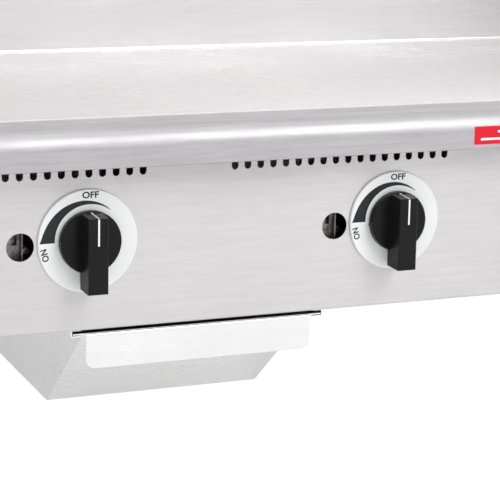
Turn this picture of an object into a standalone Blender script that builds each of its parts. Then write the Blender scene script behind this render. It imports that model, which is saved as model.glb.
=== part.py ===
"""A countertop gas griddle, 48 in wide, as an assembly of separate pieces.

Run it with:  blender --background --python part.py

Lengths are in metres. The griddle stands on its feet at Z = 0 and faces -Y. Every piece is placed
from the outer face of the front panel (Y = 0 below), the middle of the griddle (X = 0) and the
counter (Z = 0); one empty then moves the lot so that the origin is under the middle of the whole.
"""

import math

import bmesh
import bpy
from mathutils import Matrix, Vector

# ---------------------------------------------------------------- overall
WIDTH = 1.219               # outside of the side panels
DEPTH = 0.635               # front panel's face to the back of the body
BODY_BASE = 0.106           # counter to the bottom of the body
BODY_RISE = 0.180           # bottom of the body to the cooking surface
SHEET = 0.0012              # body sheet metal
SPLASH_SHEET = 0.003        # splash guards
GAP = 0.0003                # between pieces that touch

# ---------------------------------------------------------------- griddle plate and splash guards
PLATE_THICK = 0.019
PLATE_DEPTH = 0.508
PLATE_SETBACK = 0.074       # front panel's face to the plate's front edge
SPLASH_RISE = 0.101         # above the cooking surface, at the back
SPLASH_FRONT_RISE = 0.026   # above the cooking surface, at the front edge
SPLASH_SLOPE = 0.300        # length of the sloping part of a side guard
SPLASH_HEM = 0.014          # back guard's top flange, turned to the rear

# ---------------------------------------------------------------- front rail and grease trough
RAIL_OUT = 0.032            # in front of the panel
RAIL_RISE = 0.0055          # above the cooking surface
RAIL_FACE = 0.0160          # upright flat of the rail
RAIL_RADIUS = 0.0190
RAIL_HEM = 0.008
RAIL_LIP = 0.010            # inside the trough
TROUGH_DROP = 0.012         # plate's underside to the trough's floor
TROUGH_UNDER = 0.005        # how far the plate hangs over the trough
CHUTE_WIDTH = 0.060
CHUTE_DEPTH = 0.024

# ---------------------------------------------------------------- burners, one in each bay
BAYS = ("1", "2", "3", "4")  # from the left
BAY_PITCH = 0.3048
KNOB_OFFSET = 0.05715       # knob to the right of its bay's middle
KNOB_RISE = 0.082           # above the bottom of the body
BURNER_RADIUS = 0.016
BURNER_WALL = 0.0015
BURNER_LENGTH = 0.480       # mouth to the far side of the bend
MOUTH_SETBACK = 0.079
FIREWALL_SETBACK = 0.092
PIPE_RADIUS = 0.01335
PIPE_WALL = 0.0029
MANIFOLD_SETBACK = 0.033
MANIFOLD_DROP = 0.040       # below the knobs
SUPPLY_X = 0.5475
SUPPLY_STUB = 0.025         # inlet's length behind the body
STEM_RADIUS = 0.004
STEM_HOLE_RADIUS = 0.007

# ---------------------------------------------------------------- front panel
SLOT_PITCH = 0.0127
SLOTS_IN_BAY = 18
SLOT_WIDTH = 0.0064
SLOT_LENGTH = 0.0160
SLOT_RISE = 0.0562          # slots' lower ends above the knobs
SLOTS_OFFSET = -0.0558      # middle of a bay's slots from its knob
SIGHT_RADIUS = 0.0126
SIGHT_OFFSET = -0.0618      # from the knob
SIGHT_DROP = 0.0025         # below the knob
FLANGE = 0.015

# ---------------------------------------------------------------- bezels and knobs
BEZEL_RADIUS = 0.0463
BEZEL_THICK = 0.0027
KNOB_CLEARANCE = 0.0015     # bezel to the back of the knob
KNOB_RADIUS = 0.0283
KNOB_DISC = 0.0075
KNOB_HEIGHT = 0.026         # back of the knob to the front of the grip
GRIP_WIDTH = 0.0185
GRIP_TAIL = 0.043           # knob's axis to the end of the tail
GRIP_NOSE = 0.025           # knob's axis to the top of the grip's front face
STEM_IN_KNOB = 0.016

# ---------------------------------------------------------------- drip tray
TRAY_X = -0.2888
TRAY_GAP = 0.0042           # bottom of the body to the tray's rim
TRAY_LENGTH = 0.410
TRAY_DROP = 0.0947
TRAY_HALF_TOP = 0.112
TRAY_HALF_BOTTOM = 0.1095
TRAY_FLANGE = 0.0105
TRAY_FRONT_RIM = 0.002
TRAY_FRONT_SLOPE = 0.114    # how far the front wall leans back
TRAY_FLOOR_RISE = 0.0155    # from the front of the tray's floor to the back
TRAY_BACK_SLOPE = 0.010
HANDLE_SETBACK = 0.0044
HANDLE_HEIGHT = 0.0328
HANDLE_HALF = 0.1105
HANDLE_CORNER = 0.0085
RAIL_SLIP = 0.0007          # tray flange to its rail, each way

# ---------------------------------------------------------------- flue
DECK_RISE = 0.014           # deck behind the splash guard, above the cooking surface
FLUE_WIDTH = 0.900
FLUE_DEPTH = 0.030
FLUE_RISE = 0.086           # above the cooking surface

# ---------------------------------------------------------------- legs and feet
LEG_INSET = 0.042           # leg's middle to the outside of the side panel
LEG_FRONT = 0.060           # front legs behind the panel's face
LEG_BACK = 0.055            # back legs in front of the back of the body
LEG_RADIUS = 0.023
LEG_FLANGE_RADIUS = 0.032
FOOT_HEIGHT = 0.030
FOOT_RADIUS = 0.019
STUD_RADIUS = 0.008
STUD_LENGTH = 0.045
STUD_SLIP = 0.0004

# ---------------------------------------------------------------- worked out from the sizes above
PLATE_TOP = BODY_BASE + BODY_RISE
PLATE_BASE = PLATE_TOP - PLATE_THICK
PLATE_BACK = PLATE_SETBACK + PLATE_DEPTH
RAIL_TOP = PLATE_TOP + RAIL_RISE
RAIL_BASE = RAIL_TOP - RAIL_RADIUS - RAIL_FACE
TROUGH_FRONT = SHEET + GAP
TROUGH_BACK = PLATE_SETBACK + TROUGH_UNDER + SHEET
TROUGH_BASE = PLATE_BASE - TROUGH_DROP - SHEET
LIP_SETBACK = TROUGH_FRONT + SHEET + GAP + SHEET
INSIDE_HALF = WIDTH / 2 - SPLASH_SHEET - GAP
KNOB_Z = BODY_BASE + KNOB_RISE
MANIFOLD_Z = KNOB_Z - MANIFOLD_DROP
MANIFOLD_TOP = MANIFOLD_Z + PIPE_RADIUS + GAP
FLOOR_TOP = BODY_BASE + SHEET
FLANGE_Z = FLOOR_TOP + GAP
DECK_TOP = PLATE_TOP + DECK_RISE
SPLASH_BACK = PLATE_BACK + GAP + SPLASH_SHEET
TRAY_TOP = BODY_BASE - TRAY_GAP
CHUTE_Y = TROUGH_BACK - SHEET - TROUGH_UNDER - CHUTE_DEPTH / 2
KNOB_BACK = -(GAP + BEZEL_THICK + KNOB_CLEARANCE)
TRAY_FRONT = HANDLE_SETBACK + SHEET + GAP
LEG_X = WIDTH / 2 - LEG_INSET
ROUND = 32                  # sides of a large round piece
SMALL_ROUND = 16


def knob_x(bay):
    """X of a bay's knob, which is also that of its valve and burner mouth."""
    return (BAYS.index(bay) - (len(BAYS) - 1) / 2) * BAY_PITCH + KNOB_OFFSET


# ================================================================ helpers
def clear_scene():
    for old in list(bpy.data.objects):
        bpy.data.objects.remove(old)


def material(name, colour, roughness, metallic):
    made = bpy.data.materials.new(name)
    made.use_nodes = True
    shader = made.node_tree.nodes["Principled BSDF"]
    shader.inputs["Base Color"].default_value = (*colour, 1.0)
    shader.inputs["Roughness"].default_value = roughness
    shader.inputs["Metallic"].default_value = metallic
    made.diffuse_color = (*colour, 1.0)
    return made


def empty(name, location, parent=None):
    made = bpy.data.objects.new(name, None)
    made.location = location
    made.parent = parent
    bpy.context.scene.collection.objects.link(made)
    return made


def solid(name, shape, finish, parent, location=(0, 0, 0)):
    """Makes an object from a bmesh, with its faces pointing out."""
    bmesh.ops.remove_doubles(shape, verts=shape.verts, dist=1e-7)
    bmesh.ops.recalc_face_normals(shape, faces=shape.faces)
    mesh = bpy.data.meshes.new(name)
    shape.to_mesh(mesh)
    shape.free()
    mesh.materials.append(finish)
    mesh.shade_smooth()
    mesh.set_sharp_from_angle(angle=math.radians(30))
    made = bpy.data.objects.new(name, mesh)
    made.location = location
    made.parent = parent
    bpy.context.scene.collection.objects.link(made)
    return made


def combine(target, shape, operation):
    """Adds a Boolean with a hidden tool object that sits where the target does."""
    tool = solid(target.name + "_tool", shape, target.data.materials[0], target.parent, target.location)
    tool.hide_render = True
    tool.display_type = "WIRE"
    modifier = target.modifiers.new(operation.title(), "BOOLEAN")
    modifier.operation = operation
    modifier.object = tool
    modifier.solver = "EXACT"
    return target


def box(low, high, shape=None):
    """A box between two corners, added to a bmesh."""
    shape = shape or bmesh.new()
    low, high = Vector(low), Vector(high)
    place = Matrix.Translation((low + high) / 2) @ Matrix.Diagonal((*(high - low), 1))
    bmesh.ops.create_cube(shape, size=1, matrix=place)
    return shape


def extruded(outline, start, end, axis, shape=None):
    """A closed outline pushed along an axis. Its points have the other two axes, in X, Y, Z order."""
    shape = shape or bmesh.new()
    others = [i for i in range(3) if i != "XYZ".index(axis)]
    corners = []
    for point in outline:
        place = [0.0, 0.0, 0.0]
        place["XYZ".index(axis)] = start
        place[others[0]], place[others[1]] = point
        corners.append(shape.verts.new(place))
    face = shape.faces.new(corners)
    pushed = bmesh.ops.extrude_face_region(shape, geom=[face])["geom"]
    push = Vector([0, 0, 0])
    push["XYZ".index(axis)] = end - start
    bmesh.ops.translate(shape, vec=push, verts=[g for g in pushed if isinstance(g, bmesh.types.BMVert)])
    return shape


def folded(line, thickness):
    """The outline of a sheet that follows a bent line, with its thickness on the line's left."""
    inner = []
    for i, (a, b) in enumerate(line):
        before = Vector(line[i]) - Vector(line[i - 1]) if i else Vector(line[1]) - Vector(line[0])
        after = Vector(line[i + 1]) - Vector(line[i]) if i < len(line) - 1 else before
        before, after = before.normalized(), after.normalized()
        left = Vector((-before.y - after.y, before.x + after.x)).normalized()
        reach = thickness / max(0.2, left.dot(Vector((-after.y, after.x))))
        inner.append((a + left.x * reach, b + left.y * reach))
    return list(line) + inner[::-1]


def arc(centre, radius, start, end, steps):
    """Points on an arc, from one angle to another, in degrees."""
    turns = [math.radians(start + (end - start) * i / steps) for i in range(steps + 1)]
    return [(centre[0] + radius * math.cos(t), centre[1] + radius * math.sin(t)) for t in turns]


def turned(profile, axis, sides, centre=(0, 0, 0), shape=None):
    """A profile of (along, radius) points spun about an axis. It closes on the axis or on itself."""
    made = bmesh.new()
    direction = Vector((axis == "X", axis == "Y", axis == "Z"))
    across = Vector((axis != "X", axis == "X", 0))
    points = [made.verts.new(direction * along + across * radius) for along, radius in profile]
    edges = [made.edges.new(pair) for pair in zip(points, points[1:])]
    if profile[0][1] > 0:
        edges.append(made.edges.new((points[-1], points[0])))
    bmesh.ops.spin(made, geom=points + edges, cent=(0, 0, 0), axis=direction, angle=math.tau,
                   steps=sides, use_merge=True)
    bmesh.ops.remove_doubles(made, verts=made.verts, dist=1e-6)
    bmesh.ops.translate(made, vec=Vector(centre), verts=made.verts)
    if shape is None:
        return made
    mesh = bpy.data.meshes.new("turned")
    bmesh.ops.recalc_face_normals(made, faces=made.faces)
    made.to_mesh(mesh)
    made.free()
    shape.from_mesh(mesh)
    bpy.data.meshes.remove(mesh)
    return shape


def rod(centre, radius, length, axis, sides=SMALL_ROUND, shape=None):
    """A cylinder centred on a point."""
    ends = [(-length / 2, 0), (-length / 2, radius), (length / 2, radius), (length / 2, 0)]
    return turned(ends, axis, sides, centre, shape)


def rectangle_tube(low, high, wall):
    """An upright four-sided duct, open at both ends."""
    shape = bmesh.new()
    rings = []
    for inset in (0, wall):
        for z in (low[2], high[2]) if inset == 0 else (high[2], low[2]):
            corners = [(low[0] + inset, low[1] + inset), (high[0] - inset, low[1] + inset),
                       (high[0] - inset, high[1] - inset), (low[0] + inset, high[1] - inset)]
            rings.append([shape.verts.new((x, y, z)) for x, y in corners])
    for a, b in zip(rings, rings[1:] + rings[:1]):
        for i in range(4):
            shape.faces.new((a[i], a[(i + 1) % 4], b[(i + 1) % 4], b[i]))
    return shape


def swept_rings(shape, path, radius, sides):
    """Rings of corners round each point of a level path, square to the way it runs."""
    rings = []
    for i, point in enumerate(path):
        ahead = Vector(path[min(i + 1, len(path) - 1)]) - Vector(path[max(i - 1, 0)])
        side = Vector((ahead.y, -ahead.x, 0)).normalized()
        corners = []
        for k in range(sides):
            turn = math.tau * k / sides
            offset = math.cos(turn) * side + math.sin(turn) * Vector((0, 0, 1))
            corners.append(shape.verts.new(Vector((*point, 0)) + radius * offset))
        rings.append(corners)
    return rings


def skin(shape, rings):
    """Faces between each ring and the next."""
    for a, b in zip(rings, rings[1:]):
        for k in range(len(a)):
            after = (k + 1) % len(a)
            shape.faces.new((a[k], a[after], b[after], b[k]))


def swept_rod(path, radius, sides):
    """A solid round rod along a level path of (x, y) points."""
    shape = bmesh.new()
    rings = swept_rings(shape, path, radius, sides)
    skin(shape, rings)
    shape.faces.new(rings[0])
    shape.faces.new(rings[-1])
    return shape


def swept_pipe(path, radius, wall, sides, capped=False):
    """A round pipe along a level path of (x, y) points. Its far end may be closed with a cap."""
    shape = bmesh.new()
    outer = swept_rings(shape, path, radius, sides)
    last = Vector(path[-1]) - Vector(path[-2])
    bore_end = Vector(path[-1]) - last.normalized() * (wall if capped else 0)
    inner = swept_rings(shape, [*path[:-1], tuple(bore_end)], radius - wall, sides)
    skin(shape, outer)
    skin(shape, inner)
    skin(shape, [outer[0], inner[0]])
    if capped:
        shape.faces.new(outer[-1])
        shape.faces.new(inner[-1])
    else:
        skin(shape, [outer[-1], inner[-1]])
    return shape


# ================================================================ body shell
def make_front_panel(body, steel):
    """Control panel: a folded sheet with vent slots under the rail, sight holes and stem holes."""
    line = [(FLANGE, BODY_BASE), (0, BODY_BASE), (0, RAIL_TOP - SHEET - GAP)]
    outline = folded(line[::-1], SHEET)
    panel = solid("front_panel", extruded(outline, -WIDTH / 2, WIDTH / 2, "X"), steel, body)
    cuts = bmesh.new()
    radius = SLOT_WIDTH / 2
    low = KNOB_Z + SLOT_RISE + radius
    high = low + SLOT_LENGTH - SLOT_WIDTH
    for bay in BAYS:
        middle = knob_x(bay) + SLOTS_OFFSET
        for i in range(SLOTS_IN_BAY):
            x = middle + (i - (SLOTS_IN_BAY - 1) / 2) * SLOT_PITCH
            ends = arc((x, low), radius, 180, 360, 4) + arc((x, high), radius, 0, 180, 4)
            extruded(ends, -SHEET, 2 * SHEET, "Y", cuts)
        rod((knob_x(bay), 0, KNOB_Z), STEM_HOLE_RADIUS, 4 * SHEET, "Y", SMALL_ROUND, cuts)
        sight = (knob_x(bay) + SIGHT_OFFSET, 0, KNOB_Z - SIGHT_DROP)
        rod(sight, SIGHT_RADIUS, 4 * SHEET, "Y", 24, cuts)
    return combine(panel, cuts, "DIFFERENCE")


def make_side_panels(body, steel):
    """Outer sides: a sheet with a flange along the bottom."""
    top = PLATE_BASE - GAP
    for side, name in ((-1, "left_side_panel"), (1, "right_side_panel")):
        outside = side * WIDTH / 2
        line = [(outside - side * FLANGE, FLANGE_Z), (outside, FLANGE_Z), (outside, top)]
        outline = folded(line if side > 0 else line[::-1], SHEET)
        solid(name, extruded(outline, SHEET + GAP, DEPTH - SHEET - GAP, "Y"), steel, body)


def make_back_panel(body, steel):
    """Back: a sheet with a flange along the bottom and a deck at the top that the flue comes through."""
    line = [(DEPTH - FLANGE, BODY_BASE), (DEPTH, BODY_BASE), (DEPTH, DECK_TOP),
            (SPLASH_BACK + GAP, DECK_TOP)]
    panel = solid("back_panel", extruded(folded(line, SHEET), -WIDTH / 2, WIDTH / 2, "X"), steel, body)
    middle = flue_middle()
    reach = (FLUE_WIDTH / 2 + GAP, FLUE_DEPTH / 2 + GAP)
    low, high = DECK_TOP - 2 * SHEET, DECK_TOP + SHEET
    cuts = box((-reach[0], middle - reach[1], low), (reach[0], middle + reach[1], high))
    for side in (-1, 1):
        inner, outer = sorted((side * INSIDE_HALF, side * WIDTH))
        box((inner, SPLASH_BACK, low), (outer, DEPTH - SHEET, high), cuts)
    rod((SUPPLY_X, DEPTH, MANIFOLD_Z), PIPE_RADIUS + 0.002, 4 * SHEET, "Y", 24, cuts)
    return combine(panel, cuts, "DIFFERENCE")


def make_floor(body, steel):
    """Bottom pan under the side panels' flanges, with a hole for the grease chute."""
    low = (-WIDTH / 2, FLANGE + GAP, BODY_BASE)
    pan = solid("bottom_pan", box(low, (WIDTH / 2, DEPTH - FLANGE - GAP, FLOOR_TOP)), steel, body)
    reach = (CHUTE_WIDTH / 2 + GAP, CHUTE_DEPTH / 2 + GAP)
    hole = box((TRAY_X - reach[0], CHUTE_Y - reach[1], BODY_BASE - SHEET),
               (TRAY_X + reach[0], CHUTE_Y + reach[1], FLOOR_TOP + SHEET))
    return combine(pan, hole, "DIFFERENCE")


# ================================================================ rail, trough and cooking surface
def rail_line(inset=0.0):
    """The rail's outer line, as (y, z) points from its hem round the nose to its top, less an inset."""
    nose = arc((-RAIL_OUT + RAIL_RADIUS, RAIL_BASE + RAIL_FACE), RAIL_RADIUS - inset, 180, 90, 6)
    return [(-RAIL_OUT + inset, RAIL_BASE + inset), *nose]


def make_front_rail(body, steel):
    """Bullnose rail across the front, with a plate welded into each end."""
    line = [(-RAIL_OUT + RAIL_HEM, RAIL_BASE), *rail_line(), (LIP_SETBACK, RAIL_TOP),
            (LIP_SETBACK, RAIL_TOP - RAIL_LIP)]
    outline = folded(line[::-1], SHEET)
    rail = solid("front_rail", extruded(outline, -WIDTH / 2, WIDTH / 2, "X"), steel, body)
    inside = rail_line(SHEET / 2)
    section = [*inside, (-GAP, inside[-1][1]), (-GAP, inside[0][1])]
    for side in (-1, 1):
        outer = side * (WIDTH / 2 - GAP)
        combine(rail, extruded(section, outer - side * SHEET, outer, "X"), "UNION")


def make_trough(body, steel):
    """Grease trough between the rail and the plate, with a drain hole over the chute."""
    front_top = RAIL_TOP - SHEET - GAP
    outline = [(TROUGH_FRONT, TROUGH_BASE), (TROUGH_BACK, TROUGH_BASE), (TROUGH_BACK, PLATE_BASE - GAP),
               (TROUGH_FRONT + SHEET, PLATE_BASE - GAP), (TROUGH_FRONT + SHEET, front_top),
               (TROUGH_FRONT, front_top)]
    trough = solid("grease_trough", extruded(outline, -INSIDE_HALF, INSIDE_HALF, "X"), steel, body)
    floor = TROUGH_BASE + SHEET
    hollow = box((-INSIDE_HALF + SHEET, TROUGH_FRONT + SHEET, floor),
                 (INSIDE_HALF - SHEET, TROUGH_BACK - SHEET, RAIL_TOP))
    combine(trough, hollow, "DIFFERENCE")
    reach = (CHUTE_WIDTH / 2 - SHEET, CHUTE_DEPTH / 2 - SHEET)
    drain = box((TRAY_X - reach[0], CHUTE_Y - reach[1], TROUGH_BASE - SHEET),
                (TRAY_X + reach[0], CHUTE_Y + reach[1], floor + SHEET))
    return combine(trough, drain, "DIFFERENCE")


def make_chute(body, steel):
    """Duct that carries grease from the trough down through the floor to the tray."""
    low = (TRAY_X - CHUTE_WIDTH / 2, CHUTE_Y - CHUTE_DEPTH / 2, BODY_BASE - SHEET)
    high = (TRAY_X + CHUTE_WIDTH / 2, CHUTE_Y + CHUTE_DEPTH / 2, TROUGH_BASE - GAP)
    return solid("grease_chute", rectangle_tube(low, high, SHEET), steel, body)


def make_plate(body, plate_steel):
    """Flat cooking plate with eased top edges."""
    low = (-INSIDE_HALF, PLATE_SETBACK, PLATE_BASE)
    plate = solid("griddle_plate", box(low, (INSIDE_HALF, PLATE_BACK, PLATE_TOP)), plate_steel, body)
    ease = plate.modifiers.new("Eased edges", "BEVEL")
    ease.width = 0.0008
    ease.segments = 1
    return plate


def make_plate_rests(body, steel):
    """Angles along both sides and across the back that the plate rests on."""
    top = PLATE_BASE - GAP
    tall, wall = 0.030, 0.003
    outside = WIDTH / 2 - SHEET - GAP
    front, back = FIREWALL_SETBACK + SHEET + GAP, PLATE_BACK - tall - GAP
    for side, name in ((-1, "left_plate_rest"), (1, "right_plate_rest")):
        line = [(side * outside, top - tall), (side * outside, top), (side * (outside - tall), top)]
        outline = folded(line, side * wall)
        solid(name, extruded(outline, front, back, "Y"), steel, body)
    line = [(PLATE_BACK - tall, top), (SPLASH_BACK, top), (SPLASH_BACK, top - tall)]
    solid("back_plate_rest", extruded(folded(line[::-1], wall), -outside, outside, "X"), steel, body)


def make_splash_guards(body, steel):
    """Side guards that slope down to the front, and a back guard with a turned top."""
    top = PLATE_TOP + SPLASH_RISE
    front = LIP_SETBACK + GAP
    back = DEPTH - SHEET - GAP
    outline = [(front, PLATE_BASE), (back, PLATE_BASE), (back, top), (front + SPLASH_SLOPE, top),
               (front, PLATE_TOP + SPLASH_FRONT_RISE)]
    for side, name in ((-1, "left_splash_guard"), (1, "right_splash_guard")):
        solid(name, extruded(outline, side * (WIDTH / 2 - SPLASH_SHEET), side * WIDTH / 2, "X"), steel, body)
    line = [(PLATE_BACK + GAP, PLATE_BASE), (PLATE_BACK + GAP, top), (PLATE_BACK + GAP + SPLASH_HEM, top)]
    outline = folded(line[::-1], SPLASH_SHEET)
    solid("back_splash_guard", extruded(outline, -INSIDE_HALF, INSIDE_HALF, "X"), steel, body)


def flue_middle():
    """Y of the flue's middle, between the splash guard's turned top and the back panel."""
    return (PLATE_BACK + GAP + SPLASH_HEM + DEPTH - SHEET) / 2


def make_flue(body, steel):
    """Duct that the burners' exhaust leaves by, behind the back splash guard."""
    reach = (FLUE_WIDTH / 2, FLUE_DEPTH / 2)
    low = (-reach[0], flue_middle() - reach[1], PLATE_BASE)
    high = (reach[0], flue_middle() + reach[1], PLATE_TOP + FLUE_RISE)
    return solid("flue_riser", rectangle_tube(low, high, SHEET), steel, body)


# ================================================================ gas side
def make_firewall(body, steel):
    """Sheet between the controls and the burners, with holes for the burners, pilots and supply pipe."""
    half = WIDTH / 2 - FLANGE - GAP
    low = (-half, FIREWALL_SETBACK, FLOOR_TOP + GAP)
    wall = solid("firewall", box(low, (half, FIREWALL_SETBACK + SHEET, PLATE_BASE - GAP)), steel, body)
    cuts = bmesh.new()
    middle = FIREWALL_SETBACK + SHEET / 2
    for bay in BAYS:
        rod((knob_x(bay), middle, KNOB_Z), BURNER_RADIUS + 0.001, 4 * SHEET, "Y", 24, cuts)
        rod((knob_x(bay) + SIGHT_OFFSET, middle, pilot_height()), 0.0045, 4 * SHEET, "Y", 12, cuts)
    rod((SUPPLY_X, middle, MANIFOLD_Z), PIPE_RADIUS + 0.001, 4 * SHEET, "Y", 24, cuts)
    return combine(wall, cuts, "DIFFERENCE")


def make_burners(body, steel):
    """U-shaped tube burners, from the knob round the back of the bay and forward, and their shelf."""
    turn = KNOB_OFFSET
    bend_y = MOUTH_SETBACK + BURNER_LENGTH - turn - BURNER_RADIUS
    for bay in BAYS:
        path = [(0, MOUTH_SETBACK), (0, FIREWALL_SETBACK + 0.06), *arc((-turn, bend_y), turn, 0, 180, 10),
                (-2 * turn, FIREWALL_SETBACK + 0.035)]
        shape = swept_pipe(path, BURNER_RADIUS, BURNER_WALL, 14, capped=True)
        solid("burner_" + bay, shape, steel, body, (knob_x(bay), 0, KNOB_Z))
    shelf_top = KNOB_Z - BURNER_RADIUS - GAP
    half = SUPPLY_X - PIPE_RADIUS - 0.008
    line = [(bend_y + 0.02, shelf_top), (bend_y, shelf_top), (bend_y, FLOOR_TOP + GAP)]
    solid("burner_rest", extruded(folded(line, 0.002), -half, half, "X"), steel, body)


def make_pipes(body, black_iron):
    """Manifold across the front under the valves, and the bent supply pipe that runs to the back."""
    start = knob_x(BAYS[0]) - 0.11
    bend = 2 * PIPE_RADIUS
    joint = SUPPLY_X - bend - 0.006
    end = joint - GAP
    inside = PIPE_RADIUS - PIPE_WALL
    bore_end = start + PIPE_WALL
    profile = [(start, 0), (start, PIPE_RADIUS), (end, PIPE_RADIUS), (end, inside), (bore_end, inside),
               (bore_end, 0)]
    solid("manifold_pipe", turned(profile, "X", ROUND), black_iron, body, (0, MANIFOLD_SETBACK, MANIFOLD_Z))
    corner = arc((SUPPLY_X - bend, MANIFOLD_SETBACK + bend), bend, 0, -90, 8)
    path = [(SUPPLY_X, DEPTH + SUPPLY_STUB), *corner, (joint, MANIFOLD_SETBACK)]
    supply = swept_pipe(path, PIPE_RADIUS, PIPE_WALL, 24)
    solid("gas_supply_pipe", supply, black_iron, body, (0, 0, MANIFOLD_Z))


def make_valve(bay, body, brass):
    """Gas valve on top of the manifold: a squared body, a round bonnet in front and a neck below."""
    bonnet = [(0.0115, 0), (0.0115, 0.012), (0.026, 0.012), (0.026, 0)]
    block = box((-0.014, 0.022, -0.015), (0.014, 0.050, 0.015))
    valve = solid("valve_" + bay, block, brass, body, (knob_x(bay), 0, KNOB_Z))
    combine(valve, turned(bonnet, "Y", 20), "UNION")
    neck_low = MANIFOLD_TOP - KNOB_Z
    neck = [(neck_low, 0), (neck_low, 0.009), (-0.012, 0.009), (-0.012, 0)]
    combine(valve, turned(neck, "Z", SMALL_ROUND, (0, MANIFOLD_SETBACK, 0)), "UNION")
    bore = [(0.005, 0), (0.005, STEM_RADIUS + GAP), (0.040, STEM_RADIUS + GAP), (0.040, 0)]
    return combine(valve, turned(bore, "Y", SMALL_ROUND), "DIFFERENCE")


def pilot_height():
    return KNOB_Z + 0.024


def make_pilot(bay, body, brass, aluminium):
    """Pilot valve behind the sight hole, and its thin tube, which ends in the pilot flame's tip."""
    x = knob_x(bay) + SIGHT_OFFSET
    along = [(0.018, 0), (0.018, 0.0035), (0.023, 0.0035), (0.023, 0.0065), (0.044, 0.0065), (0.044, 0)]
    valve = solid("pilot_valve_" + bay, turned(along, "Y", SMALL_ROUND), brass, body, (x, 0, KNOB_Z))
    neck_low = MANIFOLD_TOP - KNOB_Z
    neck = [(neck_low, 0), (neck_low, 0.005), (-0.003, 0.005), (-0.003, 0)]
    combine(valve, turned(neck, "Z", 12, (0, MANIFOLD_SETBACK, 0)), "UNION")

    rise = pilot_height() - KNOB_Z
    bend_y = 0.044 + GAP + 0.006
    route = [(0.044 + GAP, 0)]
    for t in (0, 0.2, 0.4, 0.6, 0.8, 1):
        route.append((bend_y + 0.026 * t, rise * (3 * t * t - 2 * t**3)))
    tip = FIREWALL_SETBACK + 0.050
    route += [(tip, rise), *arc((tip, rise + 0.012), 0.012, -60, 0, 3), (tip + 0.012, rise + 0.018)]
    tube = swept_rod(route, 0.003, 8)
    upright = Matrix(((0, 0, 1), (1, 0, 0), (0, 1, 0))).to_4x4()
    bmesh.ops.transform(tube, matrix=upright, verts=tube.verts)
    solid("pilot_tube_" + bay, tube, aluminium, body, (x, 0, KNOB_Z))


# ================================================================ controls on the panel
def make_bezel(bay, body, white):
    """Printed dial plate round the valve stem."""
    front = -(GAP + BEZEL_THICK)
    ease = 0.0010
    profile = [(-GAP, STEM_HOLE_RADIUS), (-GAP, BEZEL_RADIUS), (front + ease, BEZEL_RADIUS),
               (front, BEZEL_RADIUS - ease), (front, STEM_HOLE_RADIUS)]
    return solid("bezel_" + bay, turned(profile, "Y", 48), white, body, (knob_x(bay), 0, KNOB_Z))


def make_knob(bay, body, black, brass):
    """Disc with a bar grip whose tail hangs past the disc, and the valve's stem that turns with it."""
    axis = empty("knob_axis_" + bay, (knob_x(bay), 0, KNOB_Z), body)
    back, front = KNOB_BACK, KNOB_BACK - KNOB_HEIGHT
    disc_front = back - KNOB_DISC
    ease = 0.0012
    disc = [(back, 0), (back, KNOB_RADIUS), (disc_front + ease, KNOB_RADIUS),
            (disc_front, KNOB_RADIUS - ease), (disc_front, 0)]
    knob = solid("knob_" + bay, turned(disc, "Y", 40), black, axis)
    tail_back = back - 0.003
    grip = [(tail_back, -GRIP_TAIL + 0.001), (front + 0.001, -GRIP_TAIL), (front, -GRIP_TAIL + 0.002),
            (front, GRIP_NOSE), (disc_front - 0.002, KNOB_RADIUS - 0.002), (tail_back, KNOB_RADIUS - 0.002)]
    combine(knob, extruded(grip, -GRIP_WIDTH / 2, GRIP_WIDTH / 2, "X"), "UNION")
    bore_end = back - STEM_IN_KNOB
    bore = [(back + 0.002, 0), (back + 0.002, STEM_RADIUS + GAP), (bore_end - GAP, STEM_RADIUS + GAP),
            (bore_end - GAP, 0)]
    combine(knob, turned(bore, "Y", SMALL_ROUND), "DIFFERENCE")
    stem = [(bore_end, 0), (bore_end, STEM_RADIUS), (0.038, STEM_RADIUS), (0.038, 0)]
    solid("valve_stem_" + bay, turned(stem, "Y", SMALL_ROUND), brass, axis)


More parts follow.
